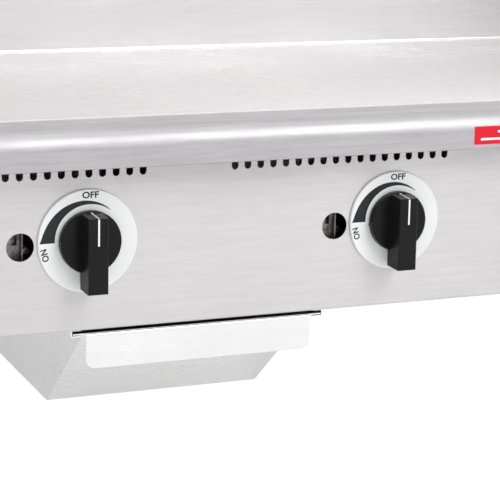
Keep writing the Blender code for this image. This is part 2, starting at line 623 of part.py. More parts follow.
# ================================================================ drip tray
def make_tray(body, steel):
    """Open pan with a leaning front wall, side flanges that run in two rails, and a front handle."""
    axis = empty("tray_slide", (TRAY_X, 0, TRAY_TOP), body)
    wall_front = TRAY_FRONT + TRAY_FRONT_RIM
    wall_back = TRAY_FRONT + TRAY_LENGTH - TRAY_FLANGE

    def ring(shape, half, front, back, z, rise=0.0):
        corners = (-half, front, z), (half, front, z), (half, back, z + rise), (-half, back, z + rise)
        return [shape.verts.new(place) for place in corners]

    shape = bmesh.new()
    floor_front, floor_back = wall_front + TRAY_FRONT_SLOPE, wall_back - TRAY_BACK_SLOPE
    lean = SHEET * math.hypot(TRAY_DROP, TRAY_FRONT_SLOPE) / TRAY_DROP
    flange_half = TRAY_HALF_TOP + TRAY_FLANGE
    flange_back = wall_back + TRAY_FLANGE
    rings = [
        ring(shape, TRAY_HALF_BOTTOM, floor_front, floor_back, -TRAY_DROP, TRAY_FLOOR_RISE),
        ring(shape, TRAY_HALF_TOP, wall_front, wall_back, -SHEET),
        ring(shape, flange_half, TRAY_FRONT, flange_back, -SHEET),
        ring(shape, flange_half, TRAY_FRONT, flange_back, 0),
        ring(shape, TRAY_HALF_TOP - SHEET, wall_front + lean, wall_back - SHEET, 0),
        ring(shape, TRAY_HALF_BOTTOM - SHEET, floor_front + lean, floor_back - SHEET, -TRAY_DROP + SHEET,
             TRAY_FLOOR_RISE),
    ]
    for a, b in zip(rings, rings[1:]):
        for i in range(4):
            shape.faces.new((a[i], a[(i + 1) % 4], b[(i + 1) % 4], b[i]))
    shape.faces.new(rings[0])
    shape.faces.new(rings[-1])
    solid("drip_tray", shape, steel, axis)

    low = -HANDLE_HEIGHT + HANDLE_CORNER
    outline = [(-HANDLE_HALF, 0), *arc((-HANDLE_HALF + HANDLE_CORNER, low), HANDLE_CORNER, 180, 270, 6),
               *arc((HANDLE_HALF - HANDLE_CORNER, low), HANDLE_CORNER, 270, 360, 6), (HANDLE_HALF, 0)]
    solid("tray_handle", extruded(outline, HANDLE_SETBACK, HANDLE_SETBACK + SHEET, "Y"), steel, axis)


def make_tray_rails(body, steel):
    """Two C-shaped rails under the floor that the tray's flanges slide in."""
    high = BODY_BASE - GAP
    low = TRAY_TOP - SHEET - RAIL_SLIP - SHEET
    web = TRAY_HALF_TOP + TRAY_FLANGE + RAIL_SLIP + SHEET
    lip = TRAY_HALF_TOP + 0.003
    front = TRAY_FRONT
    for side, name in ((-1, "left_tray_rail"), (1, "right_tray_rail")):
        line = [(lip, low), (web, low), (web, high), (lip, high)]
        outline = [(TRAY_X + side * x, z) for x, z in folded(line, SHEET)]
        solid(name, extruded(outline, front, front + TRAY_LENGTH, "Y"), steel, body)


# ================================================================ legs and feet
def make_legs(body, steel):
    """Four legs bolted under the body, each with a foot that screws in and out to level the griddle."""
    top = BODY_BASE - GAP
    places = {
        "front_left": (-LEG_X, LEG_FRONT), "front_right": (LEG_X, LEG_FRONT),
        "back_left": (-LEG_X, DEPTH - LEG_BACK), "back_right": (LEG_X, DEPTH - LEG_BACK),
    }
    foot_top = FOOT_HEIGHT - GAP
    bore = STUD_RADIUS + STUD_SLIP
    bore_end = FOOT_HEIGHT + STUD_LENGTH + 0.004
    for place, (x, y) in places.items():
        axis = empty("foot_axis_" + place, (x, y, 0), body)
        leg = [(top, 0), (top, LEG_FLANGE_RADIUS), (top - 0.004, LEG_FLANGE_RADIUS),
               (top - 0.006, LEG_RADIUS), (FOOT_HEIGHT + 0.012, LEG_RADIUS), (FOOT_HEIGHT, FOOT_RADIUS),
               (FOOT_HEIGHT, bore), (bore_end, bore), (bore_end, 0)]
        solid("leg_" + place, turned(leg, "Z", 28), steel, body, (x, y, 0))
        foot = [(0, 0), (0, FOOT_RADIUS - 0.003), (0.003, FOOT_RADIUS), (foot_top - 0.008, FOOT_RADIUS),
                (foot_top, FOOT_RADIUS - 0.004), (foot_top, STUD_RADIUS),
                (foot_top + STUD_LENGTH, STUD_RADIUS), (foot_top + STUD_LENGTH, 0)]
        solid("foot_" + place, turned(foot, "Z", 24), steel, axis)


# ================================================================ assembly
def main():
    clear_scene()
    steel = material("brushed_stainless", (0.62, 0.62, 0.63), 0.35, 1.0)
    plate_steel = material("polished_plate", (0.66, 0.65, 0.65), 0.22, 1.0)
    galvanised = material("galvanised_sheet", (0.48, 0.49, 0.50), 0.55, 1.0)
    burner_steel = material("burner_steel", (0.30, 0.29, 0.28), 0.6, 1.0)
    black_iron = material("black_iron_pipe", (0.06, 0.06, 0.065), 0.6, 0.8)
    brass = material("brass", (0.72, 0.55, 0.25), 0.35, 1.0)
    aluminium = material("aluminium_tube", (0.70, 0.70, 0.71), 0.45, 1.0)
    white = material("bezel_white", (0.86, 0.87, 0.87), 0.35, 0.0)
    black = material("knob_black", (0.02, 0.02, 0.022), 0.4, 0.0)

    panel_y = (RAIL_OUT - DEPTH - SUPPLY_STUB) / 2
    body = empty("griddle", (0, panel_y, 0))

    make_front_panel(body, steel)
    make_side_panels(body, steel)
    make_back_panel(body, steel)
    make_floor(body, galvanised)
    make_front_rail(body, steel)
    make_trough(body, steel)
    make_chute(body, steel)
    make_plate(body, plate_steel)
    make_plate_rests(body, galvanised)
    make_splash_guards(body, steel)
    make_flue(body, steel)
    make_firewall(body, galvanised)
    make_burners(body, burner_steel)
    make_pipes(body, black_iron)
    for bay in BAYS:
        make_valve(bay, body, aluminium)
        make_pilot(bay, body, brass, aluminium)
        make_bezel(bay, body, white)
        make_knob(bay, body, black, brass)
    make_tray(body, steel)
    make_tray_rails(body, galvanised)
    make_legs(body, steel)


main()
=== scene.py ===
# %% [markdown]
# # A countertop gas griddle
#
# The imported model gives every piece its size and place. This lesson makes the finished surfaces
# around it: folded stainless sheet, a polished cooking plate, moulded knobs and printed dials.

# %% Load the frame
import math

import bmesh
import bpy
from mathutils import Matrix, Vector


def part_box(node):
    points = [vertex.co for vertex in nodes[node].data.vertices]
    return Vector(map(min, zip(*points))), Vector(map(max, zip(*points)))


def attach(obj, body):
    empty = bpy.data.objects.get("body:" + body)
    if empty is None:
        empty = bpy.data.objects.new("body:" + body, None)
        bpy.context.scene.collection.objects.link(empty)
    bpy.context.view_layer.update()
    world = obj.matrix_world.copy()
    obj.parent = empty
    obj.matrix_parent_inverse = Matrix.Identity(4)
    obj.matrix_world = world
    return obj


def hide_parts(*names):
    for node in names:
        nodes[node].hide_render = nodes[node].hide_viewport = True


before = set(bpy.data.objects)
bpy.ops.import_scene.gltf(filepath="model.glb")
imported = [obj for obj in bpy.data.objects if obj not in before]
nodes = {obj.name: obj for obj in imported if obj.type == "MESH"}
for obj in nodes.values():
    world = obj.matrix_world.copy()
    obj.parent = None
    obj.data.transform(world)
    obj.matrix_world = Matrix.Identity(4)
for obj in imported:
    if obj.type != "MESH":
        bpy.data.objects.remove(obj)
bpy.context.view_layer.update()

# %% [markdown]
# ## Camera
#
# A long lens far away keeps the griddle's edges nearly parallel, as in a catalogue. The
# camera's axes are worked out from three turns: to the right, down, and a slight roll.

# %% Camera
LENS = 0.14666
SENSOR = 0.036
YAW, PITCH, ROLL = 0.4215, 0.2108, 0.0205
CAMERA_FROM_KNOB = Vector((-0.5882, -1.6630, 0.3705))

knob_low, knob_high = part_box("valve_stem_1")
panel_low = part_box("front_panel")[0]
first_knob = Vector(((knob_low.x + knob_high.x) / 2, panel_low.y, (knob_low.z + knob_high.z) / 2))

forward = Vector((math.sin(YAW) * math.cos(PITCH), math.cos(YAW) * math.cos(PITCH), -math.sin(PITCH)))
level = Vector((math.cos(YAW), -math.sin(YAW), 0))
above = level.cross(forward)
across = math.cos(ROLL) * level + math.sin(ROLL) * above
upward = math.cos(ROLL) * above - math.sin(ROLL) * level

camera_data = bpy.data.cameras.new("camera")
camera_data.lens = LENS * 1000
camera_data.sensor_width = SENSOR * 1000
camera_data.clip_start = 0.05
camera_data.clip_end = 100
camera = bpy.data.objects.new("camera", camera_data)
bpy.context.scene.collection.objects.link(camera)
placing = Matrix((across, upward, -forward)).transposed().to_4x4()
placing.translation = first_knob + CAMERA_FROM_KNOB
camera.matrix_world = placing
bpy.context.scene.camera = camera
print("camera", [round(v, 3) for v in camera.location])

# %% [markdown]
# ## Room and light
#
# Bright metal has no look of its own: it shows what is around it. A pale floor, a white room that is
# brighter behind than in front, with softly darker uprights in it, and three large soft lamps give it
# light and dark to reflect. The room is a shading by direction, because that needs no walls to build.

# %% Room helpers
scene = bpy.context.scene
scene.view_settings.view_transform = "Standard"
room = bpy.data.worlds.new("room")
scene.world = room
room.use_nodes = True
tree = room.node_tree
tree.nodes.clear()
direction = tree.nodes.new("ShaderNodeTexCoord")
split = tree.nodes.new("ShaderNodeSeparateXYZ")
tree.links.new(direction.outputs["Generated"], split.inputs[0])


def ramped(value, low, high, to_low, to_high):
    """Stretches one direction's value over a range of brightness."""
    made = tree.nodes.new("ShaderNodeMapRange")
    for label, number in (("From Min", low), ("From Max", high), ("To Min", to_low), ("To Max", to_high)):
        made.inputs[label].default_value = number
    tree.links.new(value, made.inputs["Value"])
    return made.outputs[0]


def multiplied(first, second):
    """One brightness times another."""
    made = tree.nodes.new("ShaderNodeMath")
    made.operation = "MULTIPLY"
    tree.links.new(first, made.inputs[0])
    tree.links.new(second, made.inputs[1])
    return made.outputs[0]


print("room tree ready:", len(tree.nodes), "nodes")

# %% Room
HORIZON, CEILING, ROOM_FRONT, ROOM_BACK, SCREEN_DARK = 0.96, 0.85, 0.84, 1.16, 0.84
LEFT_WALL, RIGHT_WALL = 0.82, 1.22
UPRIGHT_STRETCH, UPRIGHT_SCALE = 0.12, 5.5
rising = multiplied(ramped(split.outputs["Z"], -0.05, 0.25, HORIZON, 1.0),
                    ramped(split.outputs["Z"], 0.45, 0.90, 1.0, CEILING))
behind = ramped(split.outputs["Y"], -0.7, 0.7, ROOM_FRONT, ROOM_BACK)
flat_ring = tree.nodes.new("ShaderNodeVectorMath")
flat_ring.operation = "MULTIPLY"
flat_ring.inputs[1].default_value = (1, 1, UPRIGHT_STRETCH)
tree.links.new(direction.outputs["Generated"], flat_ring.inputs[0])
uprights = tree.nodes.new("ShaderNodeTexNoise")
uprights.inputs["Scale"].default_value = UPRIGHT_SCALE
uprights.inputs["Detail"].default_value = 1.0
tree.links.new(flat_ring.outputs[0], uprights.inputs["Vector"])
panels = ramped(uprights.outputs["Fac"], 0.40, 0.60, SCREEN_DARK, 1.0)
walls = ramped(split.outputs["X"], 0.25, 0.55, LEFT_WALL, RIGHT_WALL)
brightness = multiplied(multiplied(rising, behind), multiplied(panels, walls))
print("room brightness set by direction")

# %% [markdown]
# What the camera sees of the room directly is plain white, and only the reflections get the shaded
# room. The light path tells the two apart. The floor does the same with its own glow.

# %% Seen and reflected room
seen = tree.nodes.new("ShaderNodeBackground")
seen.inputs["Color"].default_value = (1, 1, 1, 1)
lit = tree.nodes.new("ShaderNodeBackground")
lit.inputs["Color"].default_value = (1.0, 0.985, 0.99, 1)
tree.links.new(brightness, lit.inputs["Strength"])
ray = tree.nodes.new("ShaderNodeLightPath")
choose = tree.nodes.new("ShaderNodeMixShader")
tree.links.new(ray.outputs["Is Camera Ray"], choose.inputs[0])
tree.links.new(lit.outputs[0], choose.inputs[1])
tree.links.new(seen.outputs[0], choose.inputs[2])
room_out = tree.nodes.new("ShaderNodeOutputWorld")
tree.links.new(choose.outputs[0], room_out.inputs[0])
print("room:", len(tree.nodes), "nodes")

# %% Floor
FLOOR_GLOW, FLOOR_SEEN = 0.43, 0.80
bpy.ops.object.select_all(action="DESELECT")
bpy.ops.mesh.primitive_plane_add(size=40, location=(0, 0, 0))
floor = bpy.context.object
floor.name = "floor"
floor_paint = bpy.data.materials.new("pale_floor")
floor_paint.use_nodes = True
floor_tree = floor_paint.node_tree
floor_shader = floor_tree.nodes["Principled BSDF"]
for socket, value in (("Base Color", (0.66, 0.655, 0.655, 1)), ("Roughness", 0.9),
                      ("Specular IOR Level", 0.1), ("Emission Color", (1, 1, 1, 1))):
    floor_shader.inputs[socket].default_value = value
floor_ray = floor_tree.nodes.new("ShaderNodeLightPath")
glow = floor_tree.nodes.new("ShaderNodeMapRange")
glow.inputs["To Min"].default_value = FLOOR_GLOW
glow.inputs["To Max"].default_value = FLOOR_SEEN
floor_tree.links.new(floor_ray.outputs["Is Camera Ray"], glow.inputs["Value"])
floor_tree.links.new(glow.outputs[0], floor_shader.inputs["Emission Strength"])
floor.data.materials.append(floor_paint)
print("floor laid")


# %% Lamps
def soft_lamp(name, place, target, size, power):
    """A square area lamp aimed at a point."""
    data = bpy.data.lights.new(name, "AREA")
    data.size = size
    data.energy = power
    lamp = bpy.data.objects.new(name, data)
    scene.collection.objects.link(lamp)
    lamp.location = place
    lamp.rotation_euler = (Vector(target) - Vector(place)).to_track_quat("-Z", "Y").to_euler()
    return lamp


soft_lamp("overhead", (0.2, 0.2, 3.2), (0, 0, 0.2), 2.2, 12)
soft_lamp("front_high", (0.95, -2.1, 2.15), (0, -0.3, 0.28), 1.7, 34)
soft_lamp("left_front", (-2.8, -1.6, 1.3), (0, 0, 0.2), 1.6, 14)
print("lamps placed")

# %% [markdown]
# ## Modelling helpers
#
# Every piece starts from a small plane or a cube and is shaped in edit mode, as by hand. These first
# helpers select by place instead of by mouse, and finish a piece so that its object sits at the
# origin with its place in its mesh.

# %% Selecting and finishing
AXES = {"X": Vector((1, 0, 0)), "Y": Vector((0, 1, 0)), "Z": Vector((0, 0, 1))}


def let_go():
    """Leaves edit mode with nothing selected."""
    if bpy.context.mode != "OBJECT":
        bpy.ops.object.mode_set(mode="OBJECT")
    bpy.ops.object.select_all(action="DESELECT")


def hold(piece):
    """Selects one piece and makes it the one that operators work on."""
    let_go()
    piece.select_set(True)
    bpy.context.view_layer.objects.active = piece


def pick(piece, kind, test):
    """Opens a piece for editing, with the vertices, edges or faces that pass a test selected."""
    hold(piece)
    bpy.ops.object.mode_set(mode="EDIT")
    bpy.ops.mesh.select_mode(type=kind)
    bpy.ops.mesh.select_all(action="DESELECT")
    shape = bmesh.from_edit_mesh(piece.data)
    items = {"VERT": shape.verts, "EDGE": shape.edges, "FACE": shape.faces}[kind]
    found = [item for item in items if test(item)]
    for item in found:
        item.select_set(True)
    shape.select_flush_mode()
    bmesh.update_edit_mesh(piece.data)
    return len(found)


def middle(item):
    """The middle of an edge or a face."""
    return sum((v.co for v in item.verts), Vector()) / len(item.verts)


def runs_along(edge, axis):
    way = edge.verts[1].co - edge.verts[0].co
    return abs(way.normalized().dot(AXES[axis])) > 0.99


def near(value, target, within=2e-4):
    """Whether two lengths agree, to a fifth of a millimetre unless told otherwise."""
    return abs(value - target) < within


def settle(piece):
    """Puts a piece's place in its mesh, so that its object stays at the origin."""
    hold(piece)
    bpy.ops.object.transform_apply(location=True, rotation=True, scale=True)


def use(piece, kind, **values):
    """Adds a modifier, sets it and applies it."""
    hold(piece)
    modifier = piece.modifiers.new(kind.title(), kind)
    for key, value in values.items():
        setattr(modifier, key, value)
    bpy.ops.object.modifier_apply(modifier=modifier.name)


def smooth(piece, angle=35):
    """Smooth shading that keeps flat faces flat and edges sharper than the angle crisp."""
    hold(piece)
    bpy.ops.object.shade_smooth_by_angle(angle=math.radians(angle))
    use(piece, "WEIGHTED_NORMAL", keep_sharp=True, weight=80)


def soften(piece, width, segments=2, angle=30):
    """Rounds every sharp edge a little, which is what catches the light on a real one."""
    use(piece, "BEVEL", width=width, segments=segments, limit_method="ANGLE", angle_limit=math.radians(angle))
    smooth(piece, 50)


def combine(piece, other, how="DIFFERENCE"):
    """Cuts one shape out of another, or welds it on."""
    use(piece, "BOOLEAN", operation=how, object=other, solver="EXACT")
    bpy.data.objects.remove(other)


def join(pieces, name):
    """Makes one piece of several."""
    let_go()
    for piece in pieces:
        piece.select_set(True)
    bpy.context.view_layer.objects.active = pieces[0]
    bpy.ops.object.join()
    pieces[0].name = name
    return pieces[0]


def copy_of(piece, name, shift):
    """A copy with its own mesh, moved by a shift."""
    made = piece.copy()
    made.data = piece.data.copy()
    made.name = name
    scene.collection.objects.link(made)
    hold(made)
    bpy.ops.transform.translate(value=shift)
    settle(made)
    return made


def fit(piece, body, slot, paint, *stands_for):
    """Gives a finished piece its finish, and its place in the frame."""
    settle(piece)
    piece.data.materials.clear()
    piece.data.materials.append(paint)
    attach(piece, body)
    if stands_for:
        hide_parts(*stands_for)
    return piece


print("selecting helpers ready")

# %% [markdown]
# A folded sheet is drawn as a line, one straight at a time, and pulled out to its width. Its folds are
# then rounded, and the sheet is given its thickness. A turned piece is half a section, spun round.


# %% Drawing, folding and turning
def draw(name, points):
    """A chain of edges through some points, made by extruding one vertex."""
    let_go()
    bpy.ops.mesh.primitive_plane_add(size=0.001, location=points[0])
    piece = bpy.context.object
    piece.name = name
    bpy.ops.object.mode_set(mode="EDIT")
    bpy.ops.mesh.select_mode(type="VERT")
    bpy.ops.mesh.select_all(action="SELECT")
    bpy.ops.mesh.merge(type="CENTER")
    for before, after in zip(points, points[1:]):
        step = Vector(after) - Vector(before)
        bpy.ops.mesh.extrude_region_move(TRANSFORM_OT_translate={"value": step})
    bpy.ops.mesh.select_all(action="SELECT")
    return piece


def in_space(pair, axis, along):
    """A point from its place along an axis and its other two coordinates, in X, Y, Z order."""
    values = list(pair[:2])
    values.insert("XYZ".index(axis), along)
    return Vector(values)


def pull(axis, distance):
    bpy.ops.mesh.extrude_region_move(TRANSFORM_OT_translate={"value": AXES[axis] * distance})
    bpy.ops.mesh.select_all(action="SELECT")


def folded(name, line, axis, start, end, thickness, inside):
    """A bent sheet. The line's points are (a, b, fold radius), and the thickness goes towards inside."""
    piece = draw(name, [in_space(point, axis, start) for point in line])
    pull(axis, end - start)
    bpy.ops.mesh.normals_make_consistent(inside=False)
    settle_mesh = bmesh.from_edit_mesh(piece.data)
    settle_mesh.faces.ensure_lookup_table()
    face = settle_mesh.faces[0]
    away = face.calc_center_median() + piece.location - in_space(inside, axis, (start + end) / 2)
    if face.normal.dot(away) < 0:
        bpy.ops.mesh.flip_normals()
    let_go()
    settle(piece)
    for point in line[1:-1]:
        fold = in_space(point, axis, (start + end) / 2)
        pick(piece, "EDGE", lambda edge: (middle(edge) - fold).length < 1e-4)
        steps = max(4, min(16, int(point[2] / 0.001) + 3))
        bpy.ops.mesh.bevel(offset=point[2], segments=steps, affect="EDGES", clamp_overlap=False)
    let_go()
    use(piece, "SOLIDIFY", thickness=thickness, offset=-1, use_even_offset=True)
    return piece


def prism(name, outline, axis, start, end):
    """A flat outline pulled along an axis into a solid."""
    piece = draw(name, [in_space(point, axis, start) for point in (*outline, outline[0])])
    bpy.ops.mesh.remove_doubles(threshold=2e-6)
    bpy.ops.mesh.select_all(action="SELECT")
    bpy.ops.mesh.edge_face_add()
    pull(axis, end - start)
    bpy.ops.mesh.normals_make_consistent(inside=False)
    let_go()
    settle(piece)
    return piece


def turned(name, profile, centre, axis, steps=64):
    """Half a section of (along, radius) points, spun about an axis."""
    out = AXES["X"] if axis == "Z" else AXES["Z"]
    points = [Vector(centre) + AXES[axis] * along + out * radius for along, radius in profile]
    piece = draw(name, points)
    bpy.ops.mesh.spin(steps=steps, angle=math.tau, center=centre, axis=AXES[axis])
    bpy.ops.mesh.select_all(action="SELECT")
    bpy.ops.mesh.remove_doubles(threshold=2e-6)
    bpy.ops.mesh.normals_make_consistent(inside=False)
    let_go()
    settle(piece)
    return piece


def block(name, low, high):
    """A cube brought to two corners, ready to be shaped."""
    let_go()
    low, high = Vector(low), Vector(high)
    bpy.ops.mesh.primitive_cube_add(size=1, location=(low + high) / 2, scale=high - low)
    piece = bpy.context.object
    piece.name = name
    settle(piece)
    return piece


def arc(centre, radius, start, end, steps):
    """Points on an arc, between two angles in degrees."""
    turns = [math.radians(start + (end - start) * i / steps) for i in range(steps + 1)]
    return [(centre[0] + radius * math.cos(t), centre[1] + radius * math.sin(t)) for t in turns]


print("drawing helpers ready")

# %% [markdown]
# ## Effects shared by several finishes
#
# Each effect is a node group with named inputs and outputs, built once. It puts out only a value that
# changes over the surface: the shader and its constant settings stay in each material.


# %% Node helpers
ORIGIN = (0.0, 0.0, 0.0)


def group(name, inputs, outputs):
    """A node group with its sockets, and its entry and exit nodes."""
    tree = bpy.data.node_groups.new(name, "ShaderNodeTree")
    for side, sockets in (("INPUT", inputs), ("OUTPUT", outputs)):
        for label, value in sockets.items():
            kind = "NodeSocketVector" if isinstance(value, tuple) else "NodeSocketFloat"
            socket = tree.interface.new_socket(name=label, in_out=side, socket_type=kind)
            if side == "INPUT":
                socket.default_value = value
    return tree, tree.nodes.new("NodeGroupInput").outputs, tree.nodes.new("NodeGroupOutput").inputs


def node(tree, kind, links=None, **settings):
    """A node with its settings made, and its inputs linked or set. An input is named by label or number."""
    made = tree.nodes.new("ShaderNode" + kind)
    for key, value in settings.items():
        setattr(made, key, value)
    for label, value in (links or {}).items():
        if isinstance(value, bpy.types.NodeSocket):
            tree.links.new(value, made.inputs[label])
        else:
            made.inputs[label].default_value = value
    return made


def spread(tree, value, low, high, to_low=0.0, to_high=1.0):
    """Stretches a range of values over another, and holds it there."""
    return node(tree, "MapRange", {"Value": value, "From Min": low, "From Max": high,
                                   "To Min": to_low, "To Max": to_high}).outputs[0]


def maths(tree, operation, first, second=0.0):
    """One sum on two values."""
    return node(tree, "Math", {0: first, 1: second}, operation=operation).outputs[0]


def noise(tree, vector, scale, detail=2.0, roughness=0.5):
    """Cloudy noise from 0 to 1."""
    return node(tree, "TexNoise", {"Vector": vector, "Scale": scale, "Detail": detail,
                                   "Roughness": roughness}).outputs["Fac"]


def stretched(tree, place, run):
    """A place multiplied by a different amount along each axis, which stretches what is read there."""
    return node(tree, "VectorMath", {0: place, 1: run}, operation="MULTIPLY").outputs[0]


print("node helpers ready")

# %% [markdown]
# Brushed sheet has hair-fine scratches that all run one way, with a few broader streaks between them.
# Noise stretched a hundred times longer than it is wide gives both.

# %% Brushed grain
grain_group, into, out = group("brushed_grain", {"Place": ORIGIN, "Run": (8.0, 900.0, 900.0)},
                               {"Grain": 0.0, "Streaks": 0.0})
fine_lines = stretched(grain_group, into["Place"], into["Run"])
hairs = noise(grain_group, fine_lines, 1.0, 3.0, 0.65)
streaks = noise(grain_group, fine_lines, 0.3, 3.0, 0.6)
grain_group.links.new(spread(grain_group, hairs, 0.28, 0.72), out["Grain"])
grain_group.links.new(spread(grain_group, streaks, 0.32, 0.68), out["Streaks"])

# %% [markdown]
# Edges that get rubbed turn brighter and smoother; on the rail and the knobs the lighter edge is also a
# painted highlight. A Bevel node gives the normal as if the edge were rounded, and where that leaves the
# true normal there is an edge. Noise breaks the line up.

# %% Edge wear
wear_group, into, out = group("edge_wear", {"Place": ORIGIN, "Reach": 0.0012, "Patchiness": 60.0},
                              {"Mask": 0.0})
rounded = node(wear_group, "Bevel", {"Radius": into["Reach"]}, samples=4).outputs[0]
true_normal = node(wear_group, "NewGeometry").outputs["Normal"]
agree = node(wear_group, "VectorMath", {0: rounded, 1: true_normal}, operation="DOT_PRODUCT").outputs["Value"]
edge = spread(wear_group, agree, 0.99, 0.80)
patches = spread(wear_group, noise(wear_group, into["Place"], into["Patchiness"], 3.0), 0.35, 0.60)
wear_group.links.new(maths(wear_group, "MULTIPLY", edge, patches), out["Mask"])

# %% [markdown]
# Wiped metal keeps faint clouds of grease and the odd fingertip mark. Soft clouds come from large
# noise, and the marks from small rings that show only inside the clouds.

# %% Smudges
smudge_group, into, out = group("smudges", {"Place": ORIGIN, "Size": 6.0}, {"Smudge": 0.0, "Clouds": 0.0})
clouds = spread(smudge_group, noise(smudge_group, into["Place"], into["Size"], 4.0, 0.55), 0.42, 0.68)
cells = node(smudge_group, "TexVoronoi", {"Vector": into["Place"], "Scale": 38.0}).outputs["Distance"]
rings = maths(smudge_group, "SINE", maths(smudge_group, "MULTIPLY", cells, 90.0))
tips = maths(smudge_group, "MULTIPLY", spread(smudge_group, cells, 0.32, 0.18),
             spread(smudge_group, rings, -1, 1, 0.4, 1))
marks = maths(smudge_group, "MULTIPLY", tips, clouds)
faint = maths(smudge_group, "MULTIPLY", clouds, 0.55)
smudge_group.links.new(maths(smudge_group, "MAXIMUM", faint, marks), out["Smudge"])
smudge_group.links.new(clouds, out["Clouds"])

# %% [markdown]
# Dust settles on what faces up, and lies unevenly.

# %% Dust
dust_group, into, out = group("dust", {"Place": ORIGIN, "Amount": 0.3}, {"Mask": 0.0})
facing = node(dust_group, "SeparateXYZ", {0: node(dust_group, "NewGeometry").outputs["Normal"]}).outputs["Z"]
upward = spread(dust_group, facing, 0.45, 0.95)
uneven = spread(dust_group, noise(dust_group, into["Place"], 45.0, 5.0, 0.7), 0.35, 0.75)
settled = maths(dust_group, "MULTIPLY", upward, uneven)
dust_group.links.new(maths(dust_group, "MULTIPLY", settled, into["Amount"]), out["Mask"])

# %% [markdown]
# Hot-dip galvanising freezes into crystals a few millimetres across, each a slightly different grey.
# Flat Voronoi cells look just like them.

# %% Spangle
spangle_group, into, out = group("spangle", {"Place": ORIGIN, "Size": 160.0}, {"Crystal": 0.0, "Seam": 0.0})
crystal = node(spangle_group, "TexVoronoi", {"Vector": into["Place"], "Scale": into["Size"]})
tone = node(spangle_group, "SeparateColor", {0: crystal.outputs["Color"]}).outputs[0]
spangle_group.links.new(tone, out["Crystal"])
spangle_group.links.new(spread(spangle_group, crystal.outputs["Distance"], 0.2, 0.8), out["Seam"])

# %% [markdown]
# Steel that has been hot wears straw, brown and blue films. The group puts out how far the tint has
# gone, and each metal turns that into its own colours.

# %% Heat tint
heat_group, into, out = group("heat_tint", {"Place": ORIGIN, "Size": 9.0}, {"Tint": 0.0, "Scale": 0.0})
drift = noise(heat_group, into["Place"], into["Size"], 3.0, 0.6)
heat_group.links.new(spread(heat_group, drift, 0.3, 0.7), out["Tint"])
flakes = noise(heat_group, into["Place"], 140.0, 4.0, 0.7)
heat_group.links.new(spread(heat_group, flakes, 0.45, 0.65), out["Scale"])

# %% [markdown]
# Moulded plastic and baked enamel are never quite flat: a very fine, shallow orange-peel breaks up
# their shine.

# %% Fine peel
peel_group, into, out = group("fine_peel", {"Place": ORIGIN, "Size": 700.0}, {"Peel": 0.0, "Mottle": 0.0})
peel_group.links.new(noise(peel_group, into["Place"], into["Size"], 2.0), out["Peel"])
peel_group.links.new(spread(peel_group, noise(peel_group, into["Place"], 25.0, 3.0), 0.3, 0.7), out["Mottle"])
print("effects:", [g.name for g in bpy.data.node_groups])

# %% [markdown]
# ## Finishes
#
# A finish is a Principled shader fed by the effects. One builder makes every brushed sheet, because
# side panels and the tray differ from the front mainly in which way their grain runs and in their tones;
# the rail's darker tones are painted shade and the tray's lighter ones painted light.


# %% Finish helpers
def finish(name, metallic=0.0, **constants):
    """A new material, its tree, its shader, and the place on the piece."""
    made = bpy.data.materials.new(name)
    made.use_nodes = True
    tree = made.node_tree
    shader = tree.nodes["Principled BSDF"]
    shader.inputs["Metallic"].default_value = metallic
    for label, value in constants.items():
        shader.inputs[label.replace("_", " ")].default_value = value
    spot = node(tree, "TexCoord").outputs["Object"]
    return made, tree, shader, spot


def effect(tree, which, **values):
    """Places a shared effect in a material and gives its outputs."""
    made = tree.nodes.new("ShaderNodeGroup")
    made.node_tree = which
    for label, value in values.items():
        if isinstance(value, bpy.types.NodeSocket):
            tree.links.new(value, made.inputs[label])
        else:
            made.inputs[label].default_value = value
    return made.outputs


def blend(tree, amount, first, second):
    """A colour between two, by an amount. Either may be a colour or another blend."""
    made = node(tree, "Mix", {0: amount}, data_type="RGBA")
    for label, value in ((6, first), (7, second)):
        if isinstance(value, bpy.types.NodeSocket):
            tree.links.new(value, made.inputs[label])
        else:
            made.inputs[label].default_value = (*value, 1)
    return made.outputs[2]


def raise_up(tree, shader, height, strength, distance):
    """Bumps the surface by a height."""
    bump = node(tree, "Bump", {"Height": height, "Strength": strength, "Distance": distance})
    tree.links.new(bump.outputs[0], shader.inputs["Normal"])


def brushed(name, run, dark, light, smooth_low, smooth_high, smudged=0.10, metallic=1.0, relief=0.10,
            wear_and_highlight=0.5, **constants):
    """Brushed or polished steel: fine grain, streaks, edges lightened for wear and as a painted highlight,
    smudges and a little dust.
    """
    made, tree, shader, spot = finish(name, metallic, **constants)
    grain = effect(tree, grain_group, Place=spot, Run=run)
    wear = effect(tree, wear_group, Place=spot)["Mask"]
    smudge = effect(tree, smudge_group, Place=spot)
    dust = effect(tree, dust_group, Place=spot, Amount=0.10)["Mask"]
    tone = maths(tree, "ADD", maths(tree, "MULTIPLY", grain["Grain"], 0.35),
                 maths(tree, "MULTIPLY", grain["Streaks"], 0.65))
    colour = blend(tree, tone, dark, light)
    colour = blend(tree, maths(tree, "MULTIPLY", smudge["Smudge"], smudged), colour, SMUDGE)
    # Edges lightened to pale grey: rubbed wear, and on the rail, where it is strongest, a painted highlight
    # along the hem.
    colour = blend(tree, maths(tree, "MULTIPLY", wear, wear_and_highlight), colour, (0.95, 0.94, 0.93))
    colour = blend(tree, dust, colour, (0.55, 0.53, 0.50))
    tree.links.new(colour, shader.inputs["Base Color"])
    rough = spread(tree, grain["Grain"], 0, 1, smooth_low, smooth_high)
    rough = maths(tree, "ADD", rough, maths(tree, "MULTIPLY", smudge["Smudge"], 0.12))
    rough = maths(tree, "SUBTRACT", rough, maths(tree, "MULTIPLY", wear, 0.08))
    tree.links.new(maths(tree, "ADD", rough, maths(tree, "MULTIPLY", dust, 0.3)), shader.inputs["Roughness"])
    raise_up(tree, shader, grain["Grain"], relief, 0.0002)
    return made


